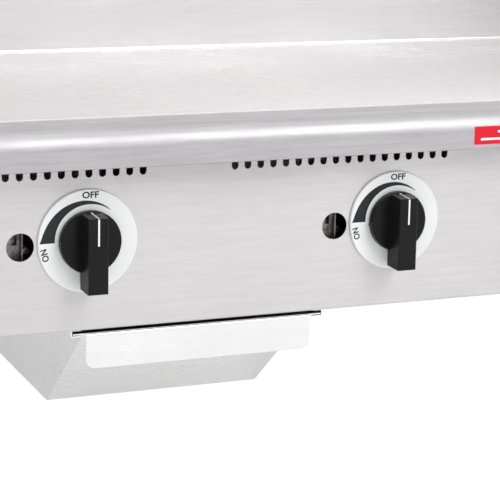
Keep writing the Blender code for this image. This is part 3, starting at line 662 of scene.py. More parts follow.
# %% Stainless finishes
SMUDGE = (0.42, 0.415, 0.42)
front_steel = brushed("brushed_front", (60, 900, 900), (0.58, 0.57, 0.575), (0.645, 0.635, 0.64), 0.32, 0.42,
                      0.16, relief=0.05, Anisotropic=0.75, Anisotropic_Rotation=0.25)
# The rail is the same stainless as the front with darker tones: painted shade. Its edges are lightened fully
# as a painted highlight.
rail_steel_painted_shade = brushed("brushed_rail_painted_shade", (45, 800, 800), (0.43, 0.425, 0.435), (0.54, 0.535, 0.545), 0.40, 0.50,
                     0.35, relief=0.06, wear_and_highlight=1.0)
side_steel = brushed("brushed_sides", (900, 60, 900), (0.56, 0.55, 0.555), (0.70, 0.69, 0.695), 0.30, 0.44,
                     0.16)
guard_steel = brushed("brushed_guards", (40, 40, 700), (0.84, 0.825, 0.83), (0.89, 0.875, 0.88), 0.26, 0.36,
                      0.10, relief=0.04)
# The tray is the same stainless as the front with lighter tones: painted light.
tray_steel_painted_light = brushed("bright_tray_painted_light", (40, 500, 500), (0.79, 0.79, 0.79), (0.83, 0.83, 0.83), 0.24, 0.32, 0.14,
                     relief=0.03)
leg_steel = brushed("satin_legs", (500, 500, 30), (0.52, 0.515, 0.51), (0.68, 0.675, 0.67), 0.24, 0.36, 0.16)
plate_steel = brushed("polished_plate", (30, 400, 400), (0.71, 0.695, 0.70), (0.74, 0.725, 0.73), 0.18, 0.26,
                      0.05, relief=0.03, wear_and_highlight=0.0)
edge_steel = brushed("ground_edge", (30, 300, 300), (0.70, 0.69, 0.695), (0.80, 0.79, 0.795), 0.50, 0.65,
                     0.10, metallic=0.35)
print("stainless finishes ready")

# %% [markdown]
# Behind the panel the metals are plainer: galvanised sheet, burner tube that has been through the
# heat, black pipe with a rusty bloom, brass fittings and thin aluminium tube.

# %% Metals behind the panel
galvanised, tree, shader, spot = finish("galvanised_sheet", 1.0)
spangle = effect(tree, spangle_group, Place=spot)
dust = effect(tree, dust_group, Place=spot, Amount=0.45)["Mask"]
colour = blend(tree, spangle["Crystal"], (0.42, 0.43, 0.44), (0.62, 0.63, 0.64))
tree.links.new(blend(tree, dust, colour, (0.50, 0.48, 0.44)), shader.inputs["Base Color"])
tree.links.new(spread(tree, spangle["Crystal"], 0, 1, 0.36, 0.58), shader.inputs["Roughness"])
raise_up(tree, shader, spangle["Seam"], 0.08, 0.0003)

burner_steel, tree, shader, spot = finish("burner_steel", 1.0)
heat = effect(tree, heat_group, Place=spot)
wear = effect(tree, wear_group, Place=spot)["Mask"]
colour = blend(tree, heat["Tint"], (0.36, 0.30, 0.24), (0.25, 0.26, 0.30))
colour = blend(tree, heat["Scale"], colour, (0.16, 0.13, 0.11))
tree.links.new(blend(tree, wear, colour, (0.45, 0.42, 0.40)), shader.inputs["Base Color"])
tree.links.new(spread(tree, heat["Scale"], 0, 1, 0.42, 0.75), shader.inputs["Roughness"])
raise_up(tree, shader, heat["Scale"], 0.15, 0.0004)

black_iron, tree, shader, spot = finish("black_iron_pipe", 0.7)
heat = effect(tree, heat_group, Place=spot, Size=30.0)
wear = effect(tree, wear_group, Place=spot)["Mask"]
colour = blend(tree, heat["Scale"], (0.045, 0.044, 0.046), (0.11, 0.06, 0.04))
tree.links.new(blend(tree, wear, colour, (0.30, 0.29, 0.28)), shader.inputs["Base Color"])
tree.links.new(spread(tree, heat["Tint"], 0, 1, 0.45, 0.70), shader.inputs["Roughness"])
raise_up(tree, shader, heat["Scale"], 0.20, 0.0004)

brass, tree, shader, spot = finish("brass", 1.0)
grain = effect(tree, grain_group, Place=spot, Run=(900, 60, 900))
heat = effect(tree, heat_group, Place=spot, Size=60.0)
wear = effect(tree, wear_group, Place=spot, Reach=0.0006)["Mask"]
colour = blend(tree, heat["Tint"], (0.70, 0.52, 0.24), (0.52, 0.36, 0.17))
tree.links.new(blend(tree, wear, colour, (0.88, 0.74, 0.44)), shader.inputs["Base Color"])
tree.links.new(spread(tree, grain["Grain"], 0, 1, 0.24, 0.42), shader.inputs["Roughness"])
raise_up(tree, shader, grain["Grain"], 0.10, 0.0002)

smoked_brass, tree, shader, spot = finish("smoked_brass", 0.9)
heat = effect(tree, heat_group, Place=spot, Size=70.0)
wear = effect(tree, wear_group, Place=spot, Reach=0.0008)["Mask"]
colour = blend(tree, heat["Tint"], (0.10, 0.085, 0.06), (0.20, 0.16, 0.10))
tree.links.new(blend(tree, wear, colour, (0.60, 0.50, 0.30)), shader.inputs["Base Color"])
tree.links.new(spread(tree, heat["Scale"], 0, 1, 0.35, 0.60), shader.inputs["Roughness"])
raise_up(tree, shader, heat["Scale"], 0.15, 0.0003)

aluminium, tree, shader, spot = finish("aluminium_tube", 1.0)
grain = effect(tree, grain_group, Place=spot, Run=(300, 300, 300))
smudge = effect(tree, smudge_group, Place=spot, Size=20.0)
colour = blend(tree, smudge["Clouds"], (0.72, 0.72, 0.73), (0.58, 0.58, 0.59))
tree.links.new(colour, shader.inputs["Base Color"])
tree.links.new(spread(tree, grain["Grain"], 0, 1, 0.34, 0.52), shader.inputs["Roughness"])
raise_up(tree, shader, grain["Grain"], 0.10, 0.0003)
print("hidden metals ready")

# %% [markdown]
# The dial plates are baked white enamel with charcoal print, and the knobs are moulded black plastic
# with a satin skin and fingerprints. The label on the rail is glossy red vinyl.


# %% Enamel, print and plastic
def coated(name, main, other, smooth_low, smooth_high, peel=0.06, dusty=0.08, size=700.0, **constants):
    """A painted, printed or moulded surface: two close tones, fine peel, smudges, edges lightened for wear
    and as a painted highlight, and dust.
    """
    made, tree, shader, spot = finish(name, 0.0, **constants)
    skin = effect(tree, peel_group, Place=spot, Size=size)
    smudge = effect(tree, smudge_group, Place=spot, Size=16.0)
    dust = effect(tree, dust_group, Place=spot, Amount=dusty)["Mask"]
    wear = effect(tree, wear_group, Place=spot, Reach=0.0008)["Mask"]
    colour = blend(tree, skin["Mottle"], main, other)
    # Edges lightened to a paler tone: rubbed wear, and on the black knobs a painted highlight along their
    # edges.
    wear_and_highlight = tuple(min(1.0, value * 1.2 + 0.05) for value in main)
    colour = blend(tree, maths(tree, "MULTIPLY", wear, 0.5), colour, wear_and_highlight)
    tree.links.new(blend(tree, dust, colour, (0.55, 0.53, 0.50)), shader.inputs["Base Color"])
    rough = spread(tree, skin["Mottle"], 0, 1, smooth_low, smooth_high)
    rough = maths(tree, "ADD", rough, maths(tree, "MULTIPLY", smudge["Smudge"], 0.15))
    tree.links.new(rough, shader.inputs["Roughness"])
    raise_up(tree, shader, skin["Peel"], peel, 0.0003)
    return made


enamel = coated("bezel_enamel", (0.80, 0.82, 0.815), (0.84, 0.86, 0.855), 0.28, 0.38, Specular_IOR_Level=0.5)
dial_print = coated("dial_print", (0.016, 0.018, 0.021), (0.024, 0.026, 0.029), 0.36, 0.46,
                    Specular_IOR_Level=0.25)
knob_plastic = coated("knob_plastic", (0.006, 0.006, 0.0065), (0.010, 0.010, 0.0105), 0.20, 0.30, peel=0.10,
                      Specular_IOR_Level=0.14)
pointer_paint = coated("pointer_paint", (0.78, 0.78, 0.77), (0.84, 0.84, 0.83), 0.36, 0.48)
label_red = coated("label_red", (0.64, 0.010, 0.026), (0.69, 0.012, 0.030), 0.30, 0.40,
                   Specular_IOR_Level=0.2)
label_white = coated("label_white", (0.80, 0.80, 0.79), (0.84, 0.84, 0.83), 0.30, 0.40)
print("coatings ready")

# %% [markdown]
# ## Places
#
# A designer measures what is already there before adding to it. Every place and overall size below is
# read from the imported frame; only small details, such as a fold's radius, are chosen here.

# %% Places from the frame
FACE = panel_low.y
SHEET = 0.0012
GAP = 0.0003
BAYS = ("1", "2", "3", "4")


def middle_of(name):
    """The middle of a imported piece."""
    low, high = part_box(name)
    return (low + high) / 2


knob_places = {bay: Vector((middle_of("valve_stem_" + bay).x, FACE, first_knob.z)) for bay in BAYS}
bay_pitch = knob_places["2"].x - knob_places["1"].x
print("knobs at", [round(place.x, 4) for place in knob_places.values()], "pitch", round(bay_pitch, 4))


# %% One for each bay
def in_each_bay(original, name, body, slot, paint, replaced=""):
    """Fits a finished piece in the first bay, and copies of it in the others.

    A copy keeps the first piece's replaced nodes and adds its own."""
    for bay in BAYS:
        shift = knob_places[bay] - knob_places["1"]
        piece = original if bay == BAYS[0] else copy_of(original, "", shift)
        piece.name = name + bay
        stands_for = [replaced + bay] if replaced else []
        fit(piece, body.format(bay), slot, paint, *stands_for)


print("a piece can be repeated in", len(BAYS), "bays")

# %% [markdown]
# ## Front panel
#
# The front is one sheet of stainless, folded under at the bottom edge. A row of punched vents in each
# bay lets air reach the burners, a round sight hole shows the pilot, and the valve stem comes through a
# third hole. The holes could be modelled as loops in the sheet, but punching them, as the maker does,
# keeps the face flat: all the punches are made first, and each bay is then cut with one Boolean.

# %% Front panel sheet
PANEL_FOLD = 0.0022
low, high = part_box("front_panel")
panel = folded("front_panel_sheet", [(high.y, low.z), (FACE, low.z, PANEL_FOLD), (FACE, high.z)], "X", low.x,
               high.x, SHEET, (FACE + 0.01, high.z))
print("panel", round(high.x - low.x, 3), "m long")

# %% Punched holes
SLOT_WIDTH, SLOT_LENGTH, SLOT_PITCH, SLOTS = 0.0064, 0.0160, 0.0127, 18
SLOT_RISE, SLOTS_OFFSET = 0.0562, -0.0558
SIGHT_OFFSET, SIGHT_DROP, SIGHT_RADIUS, STEM_HOLE = -0.0618, 0.0025, 0.0126, 0.007
PUNCH_FRONT, PUNCH_BACK = -0.004, 0.005
slot_radius = SLOT_WIDTH / 2
slot_low = first_knob.z + SLOT_RISE + slot_radius
slot_high = slot_low + SLOT_LENGTH - SLOT_WIDTH
slots_middle = knob_places["1"].x + SLOTS_OFFSET
first_slot = slots_middle - (SLOTS - 1) / 2 * SLOT_PITCH
ends = arc((first_slot, slot_low), slot_radius, 180, 360, 10)
ends += arc((first_slot, slot_high), slot_radius, 0, 180, 10)
punch = prism("slot_punch", ends, "Y", FACE + PUNCH_FRONT, FACE + PUNCH_BACK)
punches = [punch] + [copy_of(punch, "slot_punch", (i * SLOT_PITCH, 0, 0)) for i in range(1, SLOTS)]
row = join(punches, "slot_row")
sight = knob_places["1"] + Vector((SIGHT_OFFSET, 0, -SIGHT_DROP))
ring = [(PUNCH_FRONT, 0), (PUNCH_FRONT, SIGHT_RADIUS), (PUNCH_BACK, SIGHT_RADIUS), (PUNCH_BACK, 0)]
small = [(along, min(radius, STEM_HOLE)) for along, radius in ring]
sight_punch = turned("sight_punch", ring, sight, "Y", 48)
stem_punch = turned("stem_punch", small, knob_places["1"], "Y", 32)
row = join([row, sight_punch, stem_punch], "punches_1")
for i in range(3, 0, -1):
    combine(panel, copy_of(row, "punches", (i * bay_pitch, 0, 0)))
combine(panel, row)
ROLLED_EDGE = 0.00025
use(panel, "BEVEL", width=ROLLED_EDGE, segments=2, limit_method="ANGLE", angle_limit=math.radians(40))
smooth(panel, 50)
fit(panel, "chassis", "brushed_stainless", front_steel, "front_panel")
print("front panel:", len(panel.data.polygons), "faces,", SLOTS * len(BAYS), "vents")

# %% [markdown]
# ## Front rail
#
# The bullnose rail is what hands and plates rest on. It is one sheet: a hem at the bottom, an upright
# face, a quarter-round nose and a flat top that turns down into the grease trough. It could be cut
# from a solid, but folding a drawn line gives the real inside radius and an open back as well.

# %% Front rail
low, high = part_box("front_rail")
NOSE, HEM, RAIL_LIP, RAIL_FOLD = 0.019, 0.008, 0.010, 0.0016
rail = folded("front_rail_sheet",
              [(low.y + HEM, low.z), (low.y, low.z, RAIL_FOLD), (low.y, high.z, NOSE),
               (high.y, high.z, RAIL_FOLD), (high.y, high.z - RAIL_LIP)],
              "X", low.x, high.x, SHEET, (FACE - 0.010, low.z + 0.020))
soften(rail, 0.0002)
fit(rail, "chassis", "brushed_stainless", rail_steel_painted_shade, "front_rail")
print("rail", round(high.x - low.x, 3), "m long, nose radius", NOSE)

# %% [markdown]
# Each end of the rail is closed with a small plate, welded and ground, so the joint is only a fine
# line. The plate is the rail's own section, drawn a little smaller and pulled to a thin slab, because
# that way it always fits inside the sheet.

# %% Rail ends
END_INSET, END_START, END_STOP = 0.0004, 0.0003, 0.0018
section = [(low.y + END_INSET, low.z + END_INSET)]
section += arc((low.y + NOSE, high.z - NOSE), NOSE - END_INSET, 180, 90, 14)
section += [(FACE - END_INSET, high.z - END_INSET), (FACE - END_INSET, low.z + END_INSET)]
for side, edge_x, inward in (("left", low.x, 1), ("right", high.x, -1)):
    end_plate = prism(f"rail_end_{side}", section, "X", edge_x + inward * END_START,
                      edge_x + inward * END_STOP)
    soften(end_plate, 0.0003)
    fit(end_plate, "chassis", "brushed_stainless", side_steel)
print("rail ends closed")

# %% [markdown]
# ## Cooking plate
#
# The plate is ground steel, 19 mm thick. It starts as a cube brought to the plate's two corners, and
# its front edge is eased with a bevel, as a grinder would do by hand. Its sides are left rougher than
# its top, so they take a second material instead of a second piece.

# %% Cooking plate
PLATE_EASE, TOP_SLOPE = 0.0018, 0.97
low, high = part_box("griddle_plate")
plate = block("griddle_plate_ground", low, high)
front_edges = pick(plate, "EDGE", lambda edge: runs_along(edge, "X") and near(middle(edge).y, low.y))
bpy.ops.mesh.bevel(offset=PLATE_EASE, segments=4, affect="EDGES")
soften(plate, 0.0006)
fit(plate, "chassis", "polished_plate", plate_steel, "griddle_plate")
plate.data.materials.append(edge_steel)
for face in plate.data.polygons:
    face.material_index = 1 if face.normal.z < TOP_SLOPE else 0
plate_top = high.z
print("plate", [round(v, 3) for v in high - low], "edges eased:", front_edges)

# %% [markdown]
# ## Splash guards
#
# Heavy sheet stands on three sides of the plate. A side guard is full height at the back and slopes
# down to the front, so it is drawn from the side as one outline and pulled to its thickness. Only its
# top corners are rounded widely, where a sleeve would catch.

# %% Side guards
GUARD_LEVEL, GUARD_FRONT_RISE, GUARD_CORNER = 0.300, 0.026, 0.004
front_top = plate_top + GUARD_FRONT_RISE
for side in ("left", "right"):
    name = side + "_splash_guard"
    low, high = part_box(name)
    outline = [(low.y, low.z), (high.y, low.z), (high.y, high.z), (low.y + GUARD_LEVEL, high.z),
               (low.y, front_top)]
    guard = prism(name + "_sheet", outline, "X", low.x, high.x)
    pick(guard, "EDGE", lambda edge: runs_along(edge, "X") and middle(edge).z > front_top - 0.001)
    bpy.ops.mesh.bevel(offset=GUARD_CORNER, segments=5, affect="EDGES")
    soften(guard, 0.0006)
    fit(guard, "chassis", "brushed_stainless", side_steel, name)
print("side guards rise", round(high.z - plate_top, 3), "m above the plate")

# %% [markdown]
# The back guard's top is turned to the rear, which stiffens it and hides a sharp edge. It is folded
# from a drawn line like the rail, so that the bend has one even radius from end to end.

# %% Back guard
GUARD_SHEET, GUARD_FOLD = 0.003, 0.0050
low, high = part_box("back_splash_guard")
line = [(low.y, low.z), (low.y, high.z, GUARD_FOLD), (high.y, high.z)]
guard = folded("back_splash_guard_sheet", line, "X", low.x, high.x, GUARD_SHEET, (high.y, low.z))
soften(guard, 0.0005)
fit(guard, "chassis", "brushed_stainless", guard_steel, "back_splash_guard")
print("back guard", round(high.x - low.x, 3), "m long")

# %% [markdown]
# ## Dressed welds
#
# The guards are welded to the plate, and the welds are dressed to a small hollow fillet, which softens
# the corner and catches a thin line of light. A fillet could be a bevel of a joined mesh. As a piece
# of its own, with a hollow outline, it leaves the plate and the guards as they are.

# %% Dressed welds
FILLET, ROOT = 0.0016, 0.0002


def fillet(name, corner, axis, start, end, way_a, way_b):
    """A small hollow fillet along a corner. way_a and way_b say on which side of the corner it lies."""
    centre = (corner[0] + way_a * FILLET, corner[1] + way_b * FILLET)
    swing = arc(centre, FILLET, 0, 90, 6)
    hollow = [(centre[0] - way_a * (x - centre[0]), centre[1] - way_b * (z - centre[1])) for x, z in swing]
    bead = prism(name, [(corner[0] - way_a * ROOT, corner[1] - way_b * ROOT), *hollow], axis, start, end)
    smooth(bead, 40)
    return fit(bead, "chassis", "brushed_stainless", guard_steel)


low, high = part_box("griddle_plate")
fillet("weld_back", (high.y, high.z), "X", low.x, high.x, -1, 1)
fillet("weld_left", (low.x, high.z), "Y", low.y + 0.002, high.y, 1, 1)
fillet("weld_right", (high.x, high.z), "Y", low.y + 0.002, high.y, -1, 1)
print("welds dressed along", round(2 * (high.y - low.y) + high.x - low.x, 2), "m of corner")

# %% [markdown]
# ## Sides
#
# A side is thin sheet, folded under at the bottom, where the legs bolt on. The same drawn line serves
# both sides, turned round by swapping which end is the inside.

# %% Side panels
for side in ("left", "right"):
    name = side + "_side_panel"
    low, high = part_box(name)
    outside, inside_x = (low.x, high.x) if side == "left" else (high.x, low.x)
    line = [(inside_x, low.z), (outside, low.z, PANEL_FOLD), (outside, high.z)]
    sheet = folded(name + "_sheet", line, "Y", low.y, high.y, SHEET, (inside_x, high.z))
    soften(sheet, 0.0002)
    fit(sheet, "chassis", "brushed_stainless", side_steel, name)
print("side panels", round(high.z - low.z, 3), "m high")

# %% [markdown]
# ## Back panel
#
# The back sheet turns forward at the top into a narrow deck behind the guard. The flue comes up
# through the deck, its ends are notched to clear the side guards, and the gas pipe leaves through a
# round hole. Notches and holes are cut with Booleans after folding, because their edges cross a fold.

# %% Back panel
BACK_FLANGE, NOTCH_DEPTH, PIPE_CLEARANCE = 0.015, 0.0045, 0.002
low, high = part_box("back_panel")
flue_low, flue_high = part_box("flue_riser")
line = [(high.y - BACK_FLANGE, low.z), (high.y, low.z, PANEL_FOLD), (high.y, high.z, PANEL_FOLD),
        (low.y, high.z)]
back = folded("back_panel_sheet", line, "X", low.x, high.x, SHEET, (low.y, low.z))
combine(back, block("flue_cut", (flue_low.x - GAP, flue_low.y - GAP, high.z - 0.01),
                    (flue_high.x + GAP, flue_high.y + GAP, high.z + 0.01)))
guard_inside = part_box("left_splash_guard")[1].x
for inner, outer in ((guard_inside, low.x - 0.01), (-guard_inside, high.x + 0.01)):
    start, end = sorted((inner + math.copysign(GAP, -inner), outer))
    combine(back, block("end_cut", (start, low.y - 0.01, high.z - NOTCH_DEPTH),
                        (end, high.y - SHEET, high.z + 0.01)))
pipe_low, pipe_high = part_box("gas_supply_pipe")
pipe_radius = (pipe_high.z - pipe_low.z) / 2
pipe_x, pipe_z = pipe_high.x - pipe_radius, (pipe_low.z + pipe_high.z) / 2
hole_radius = pipe_radius + PIPE_CLEARANCE
hole = [(-0.005, 0), (-0.005, hole_radius), (0.005, hole_radius), (0.005, 0)]
combine(back, turned("pipe_cut", hole, (pipe_x, high.y, pipe_z), "Y", 48))
soften(back, 0.0002)
fit(back, "chassis", "brushed_stainless", guard_steel, "back_panel")
print("back panel", [round(v, 3) for v in high - low])

# %% [markdown]
# ## Flue
#
# Burnt gas leaves through a low duct, open at the top and the bottom. A cube without its top and
# bottom faces is the duct's skin. Its corners are rounded, and Solidify then gives it the sheet's
# thickness inwards, so that its outside stays where it was.

# %% Flue
flue = block("flue_riser_duct", flue_low, flue_high)
pick(flue, "FACE", lambda face: abs(face.normal.z) > 0.9)
bpy.ops.mesh.delete(type="FACE")
pick(flue, "EDGE", lambda edge: runs_along(edge, "Z"))
bpy.ops.mesh.bevel(offset=0.003, segments=5, affect="EDGES")
let_go()
use(flue, "SOLIDIFY", thickness=SHEET, offset=-1, use_even_offset=True)
soften(flue, 0.0003)
fit(flue, "chassis", "brushed_stainless", front_steel, "flue_riser")
print("flue", [round(v, 3) for v in flue_high - flue_low])

# %% [markdown]
# ## Dial plates
#
# Each knob turns over a white enamelled disc with a rounded rim and a hole for the stem. Half its
# section is spun round, because a spin keeps the rim's rounding the same all the way.

# %% Dial plate
bezel_low, bezel_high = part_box("bezel_1")
bezel_radius = (bezel_high.z - bezel_low.z) / 2
RIM_EASE = 0.0012
ROUNDING = (0, 0.4, 0.8, 1.2, 1.57)


def eased(front, radius, ease):
    """The rounded outer corner of a section, from its side to its front."""
    return [(front + ease * (1 - math.sin(t)), radius - ease * (1 - math.cos(t))) for t in ROUNDING]


front, behind_dial = bezel_low.y - FACE, bezel_high.y - FACE
rim = [(behind_dial, STEM_HOLE), (behind_dial, bezel_radius), *eased(front, bezel_radius, RIM_EASE),
       (front, STEM_HOLE), (behind_dial, STEM_HOLE)]
dial = turned("dial_plate_1", rim, knob_places["1"], "Y", 96)
smooth(dial, 40)
print("dial plate radius", round(bezel_radius, 4))

# %% [markdown]
# The print is a pair of words and a band that narrows towards the low flame. The words start as text
# objects. Text is made a mesh before it is placed, then cleaned, given the ink's thickness, brought to
# size and turned upright.

# %% Printed words
INK, LETTER_WEIGHT = 0.00006, 0.028
ink_y = bezel_low.y


def printed_word(text, tall, wide, at, turn):
    """A word on the dial: text made a mesh, brought to size, turned and placed."""
    let_go()
    bpy.ops.object.text_add(location=(0, 0, 0))
    word = bpy.context.object
    word.data.body = text
    word.data.align_x, word.data.align_y = "CENTER", "CENTER"
    word.data.resolution_u = 4
    word.data.offset = LETTER_WEIGHT
    bpy.ops.object.convert(target="MESH")
    size = word.dimensions
    corners = [Vector(corner) for corner in word.bound_box]
    centre = sum(corners, Vector()) / 8
    bpy.ops.object.mode_set(mode="EDIT")
    bpy.ops.mesh.select_all(action="SELECT")
    bpy.ops.mesh.dissolve_limited(angle_limit=0.01)
    bpy.ops.mesh.select_all(action="SELECT")
    bpy.ops.transform.translate(value=-centre)
    bpy.ops.transform.resize(value=(wide / size.x, tall / size.y, 1), center_override=(0, 0, 0))
    bpy.ops.mesh.extrude_region_move(TRANSFORM_OT_translate={"value": (0, 0, INK)})
    bpy.ops.mesh.select_all(action="SELECT")
    bpy.ops.mesh.normals_make_consistent(inside=False)
    let_go()
    upright = Matrix.Rotation(math.radians(90), 4, "X")
    lean = Matrix.Rotation(math.radians(turn), 4, Vector((0, -1, 0)))
    centre = Vector((knob_places["1"].x + at[0], ink_y, knob_places["1"].z + at[1]))
    word.matrix_world = Matrix.Translation(centre) @ lean @ upright
    settle(word)
    return word


words = [printed_word("OFF", 0.0060, 0.0154, (0.0019, 0.0413), 0),
         printed_word("ON", 0.0063, 0.0113, (-0.0404, -0.0106), 104.7)]
print("words printed:", len(words))

# %% [markdown]
# The band has no simple shape, so it is drawn point by point between two radii that close in on each
# other, and pulled to the ink's thickness. A dot beside the knob marks where the low flame begins.

# %% Flame band and low dot
BAND_STEPS, BAND_START, BAND_END = 40, 180, 53
OUTER_START, OUTER_END, INNER_START, INNER_END, TAPER = 0.0452, 0.0341, 0.0311, 0.0337, 0.62
DOT_RADIUS = 0.00075
outer, inner = [], []
for i in range(BAND_STEPS + 1):
    share = i / BAND_STEPS
    turn = math.radians(BAND_START - (BAND_START - BAND_END) * share)
    outer.append((turn, OUTER_START - (OUTER_START - OUTER_END) * share ** TAPER))
    inner.append((turn, INNER_START + (INNER_END - INNER_START) * share))
outline = [(first_knob.x + r * math.cos(t), first_knob.z + r * math.sin(t)) for t, r in outer + inner[::-1]]
band = prism("flame_band", outline, "Y", ink_y, ink_y - INK)
spot_ring = [(0, 0), (0, DOT_RADIUS), (-INK, DOT_RADIUS), (-INK, 0)]
dot = turned("low_dot", spot_ring, (first_knob.x - 0.0274, ink_y, first_knob.z - 0.0024), "Y", 20)
ink = join([band, dot, *words], "dial_print_1")
smooth(ink, 30)
in_each_bay(dial, "dial_plate_", "chassis", "bezel_white", enamel, "bezel_")
in_each_bay(ink, "dial_print_", "chassis", "bezel_white", dial_print)
print("dials:", len(BAYS))

# %% [markdown]
# ## Knobs
#
# A knob is one moulding: a disc, and a bar across it whose tail hangs past the rim. The disc is spun
# and the bar is drawn from the side and pulled to its width. A union welds them, because a moulding
# has no seam where the two meet.

# %% Knob moulding
DISC_RADIUS, DISC_THICK, GRIP_HALF, NOSE_TOP = 0.0283, 0.0075, 0.00925, 0.0250
STEM_SOCKET, DISC_EASE, BACK_EASE, GRIP_EASE = 0.0046, 0.0016, 0.0006, 0.0014
knob_low, knob_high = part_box("knob_1")
knob_at = knob_places["1"]
back_y, front_y = knob_high.y - FACE, knob_low.y - FACE
disc_y = back_y - DISC_THICK
section = [(back_y, STEM_SOCKET), (back_y, DISC_RADIUS - BACK_EASE), (back_y - BACK_EASE, DISC_RADIUS),
           *eased(disc_y, DISC_RADIUS, DISC_EASE), (disc_y, STEM_SOCKET), (back_y, STEM_SOCKET)]
disc = turned("knob_disc", section, knob_at, "Y", 96)
tail = knob_low.z - first_knob.z
side_view = [(back_y - 0.003, tail + 0.001), (front_y + 0.001, tail), (front_y, tail + 0.002),
             (front_y, NOSE_TOP), (disc_y - 0.002, DISC_RADIUS - 0.002),
             (back_y - 0.003, DISC_RADIUS - 0.002)]
side_view = [(FACE + y, first_knob.z + z) for y, z in side_view]
grip = prism("knob_grip", side_view, "X", knob_at.x - GRIP_HALF, knob_at.x + GRIP_HALF)
pick(grip, "EDGE", lambda edge: near(middle(edge).y, FACE + front_y, 4e-4) and not runs_along(edge, "X"))
bpy.ops.mesh.bevel(offset=GRIP_EASE, segments=3, affect="EDGES")
let_go()
use(grip, "BEVEL", width=0.0006, segments=2, limit_method="ANGLE", angle_limit=math.radians(35))
combine(disc, grip, "UNION")
smooth(disc, 38)
print("knob:", len(disc.data.polygons), "faces")

# %% [markdown]
# A thin white line is laid into the grip's front and over its nose. It is a narrow folded strip, let
# in by almost its whole thickness, so it follows the nose as paint in a groove does. Knob and line
# ride on the same turning body.

# %% Pointer
POINTER_HALF, POINTER_THICK, PROUD = 0.0008, 0.0005, 0.0001
line_y, slope_y = FACE + front_y - PROUD, FACE + disc_y - PROUD
line = [(line_y, first_knob.z + 0.0005), (line_y, first_knob.z + NOSE_TOP + PROUD, 0.0012),
        (slope_y, first_knob.z + DISC_RADIUS - 0.0018, 0.0003),
        (slope_y, first_knob.z + DISC_RADIUS - 0.0012)]
pointer = folded("knob_pointer", line, "X", knob_at.x - POINTER_HALF, knob_at.x + POINTER_HALF, POINTER_THICK,
                 (FACE + disc_y, first_knob.z + 0.005))
in_each_bay(disc, "knob_moulding_", "knob_{}_body", "knob_black", knob_plastic, "knob_")
in_each_bay(pointer, "knob_pointer_", "knob_{}_body", "bezel_white", pointer_paint)
print("knobs and pointers:", len(BAYS), "of each")

# %% [markdown]
# ## Drip tray
#
# The tray is a pan folded from one sheet. It starts as a plane the size of its rim: an inset makes the
# rim, and the face inside it is pulled down and squeezed into the floor, so that the front wall leans
# a long way back. Drawing it wall by wall would leave seams to close. This way it is one sheet from
# the start, as it is on the bench.

# %% Tray sheet
low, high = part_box("drip_tray")
RIM, FRONT_RIM = 0.0105, 0.0034
TRAY_FRONT_LEAN, TRAY_BACK_LEAN, TRAY_SIDE_LEAN, FLOOR_RISE = 0.1126, 0.010, 0.0025, 0.0155
rim_z = high.z - SHEET
let_go()
bpy.ops.mesh.primitive_plane_add(size=1, location=((low.x + high.x) / 2, (low.y + high.y) / 2, rim_z))
tray = bpy.context.object
hold(tray)
bpy.ops.transform.resize(value=(high.x - low.x, high.y - low.y, 1))
settle(tray)
pick(tray, "FACE", lambda face: True)
bpy.ops.mesh.inset(thickness=RIM, depth=0)
let_go()
pick(tray, "EDGE", lambda edge: near(middle(edge).y, low.y + RIM))
bpy.ops.transform.translate(value=(0, FRONT_RIM - RIM, 0))
let_go()
pick(tray, "FACE", lambda face: face.calc_area() > 0.03)
bpy.ops.mesh.extrude_region_move(TRANSFORM_OT_translate={"value": (0, 0, low.z - rim_z)})
let_go()
for test, shift in ((lambda e: near(middle(e).y, low.y + FRONT_RIM), (0, TRAY_FRONT_LEAN, 0)),
                    (lambda e: near(middle(e).x, low.x + RIM), (TRAY_SIDE_LEAN, 0, 0)),
                    (lambda e: near(middle(e).x, high.x - RIM), (-TRAY_SIDE_LEAN, 0, 0)),
                    (lambda e: near(middle(e).y, high.y - RIM), (0, -TRAY_BACK_LEAN, FLOOR_RISE))):
    pick(tray, "EDGE", lambda edge: near(middle(edge).z, low.z) and test(edge))
    bpy.ops.transform.translate(value=shift)
    let_go()
print("tray", [round(v, 3) for v in high - low])

# %% [markdown]
# Now the sheet gets its folds and its thickness. The normals are made to point out of the pan first,
# because Solidify thickens towards the inside. The deep folds are rounder than the rim's.

# %% Tray folds
DEEP_FOLD, RIM_FOLD = 0.0022, 0.0010
pick(tray, "FACE", lambda face: True)
bpy.ops.mesh.normals_make_consistent(inside=False)
floor_face = min(bmesh.from_edit_mesh(tray.data).faces, key=lambda face: face.calc_center_median().z)
if floor_face.normal.z > 0:
    bpy.ops.mesh.flip_normals()
pick(tray, "EDGE", lambda edge: len(edge.link_faces) == 2 and middle(edge).z < high.z - 0.002)
bpy.ops.mesh.bevel(offset=DEEP_FOLD, segments=4, affect="EDGES")
pick(tray, "EDGE", lambda edge: len(edge.link_faces) == 2 and all(near(v.co.z, rim_z) for v in edge.verts)
     and edge.calc_face_angle(0) > 0.5)
bpy.ops.mesh.bevel(offset=RIM_FOLD, segments=3, affect="EDGES")
let_go()
use(tray, "SOLIDIFY", thickness=SHEET, offset=-1, use_even_offset=True)
smooth(tray, 40)
tray.name = "drip_tray_pan"
fit(tray, "tray", "brushed_stainless", tray_steel_painted_light, "drip_tray")
print("tray:", len(tray.data.polygons), "faces")

# %% [markdown]
# ## Tray handle
#
# The handle is a strip folded down over the tray's front, with its lower corners rounded so that they
# don't catch. It is folded first and its corners are bevelled after, and it rides with the tray.

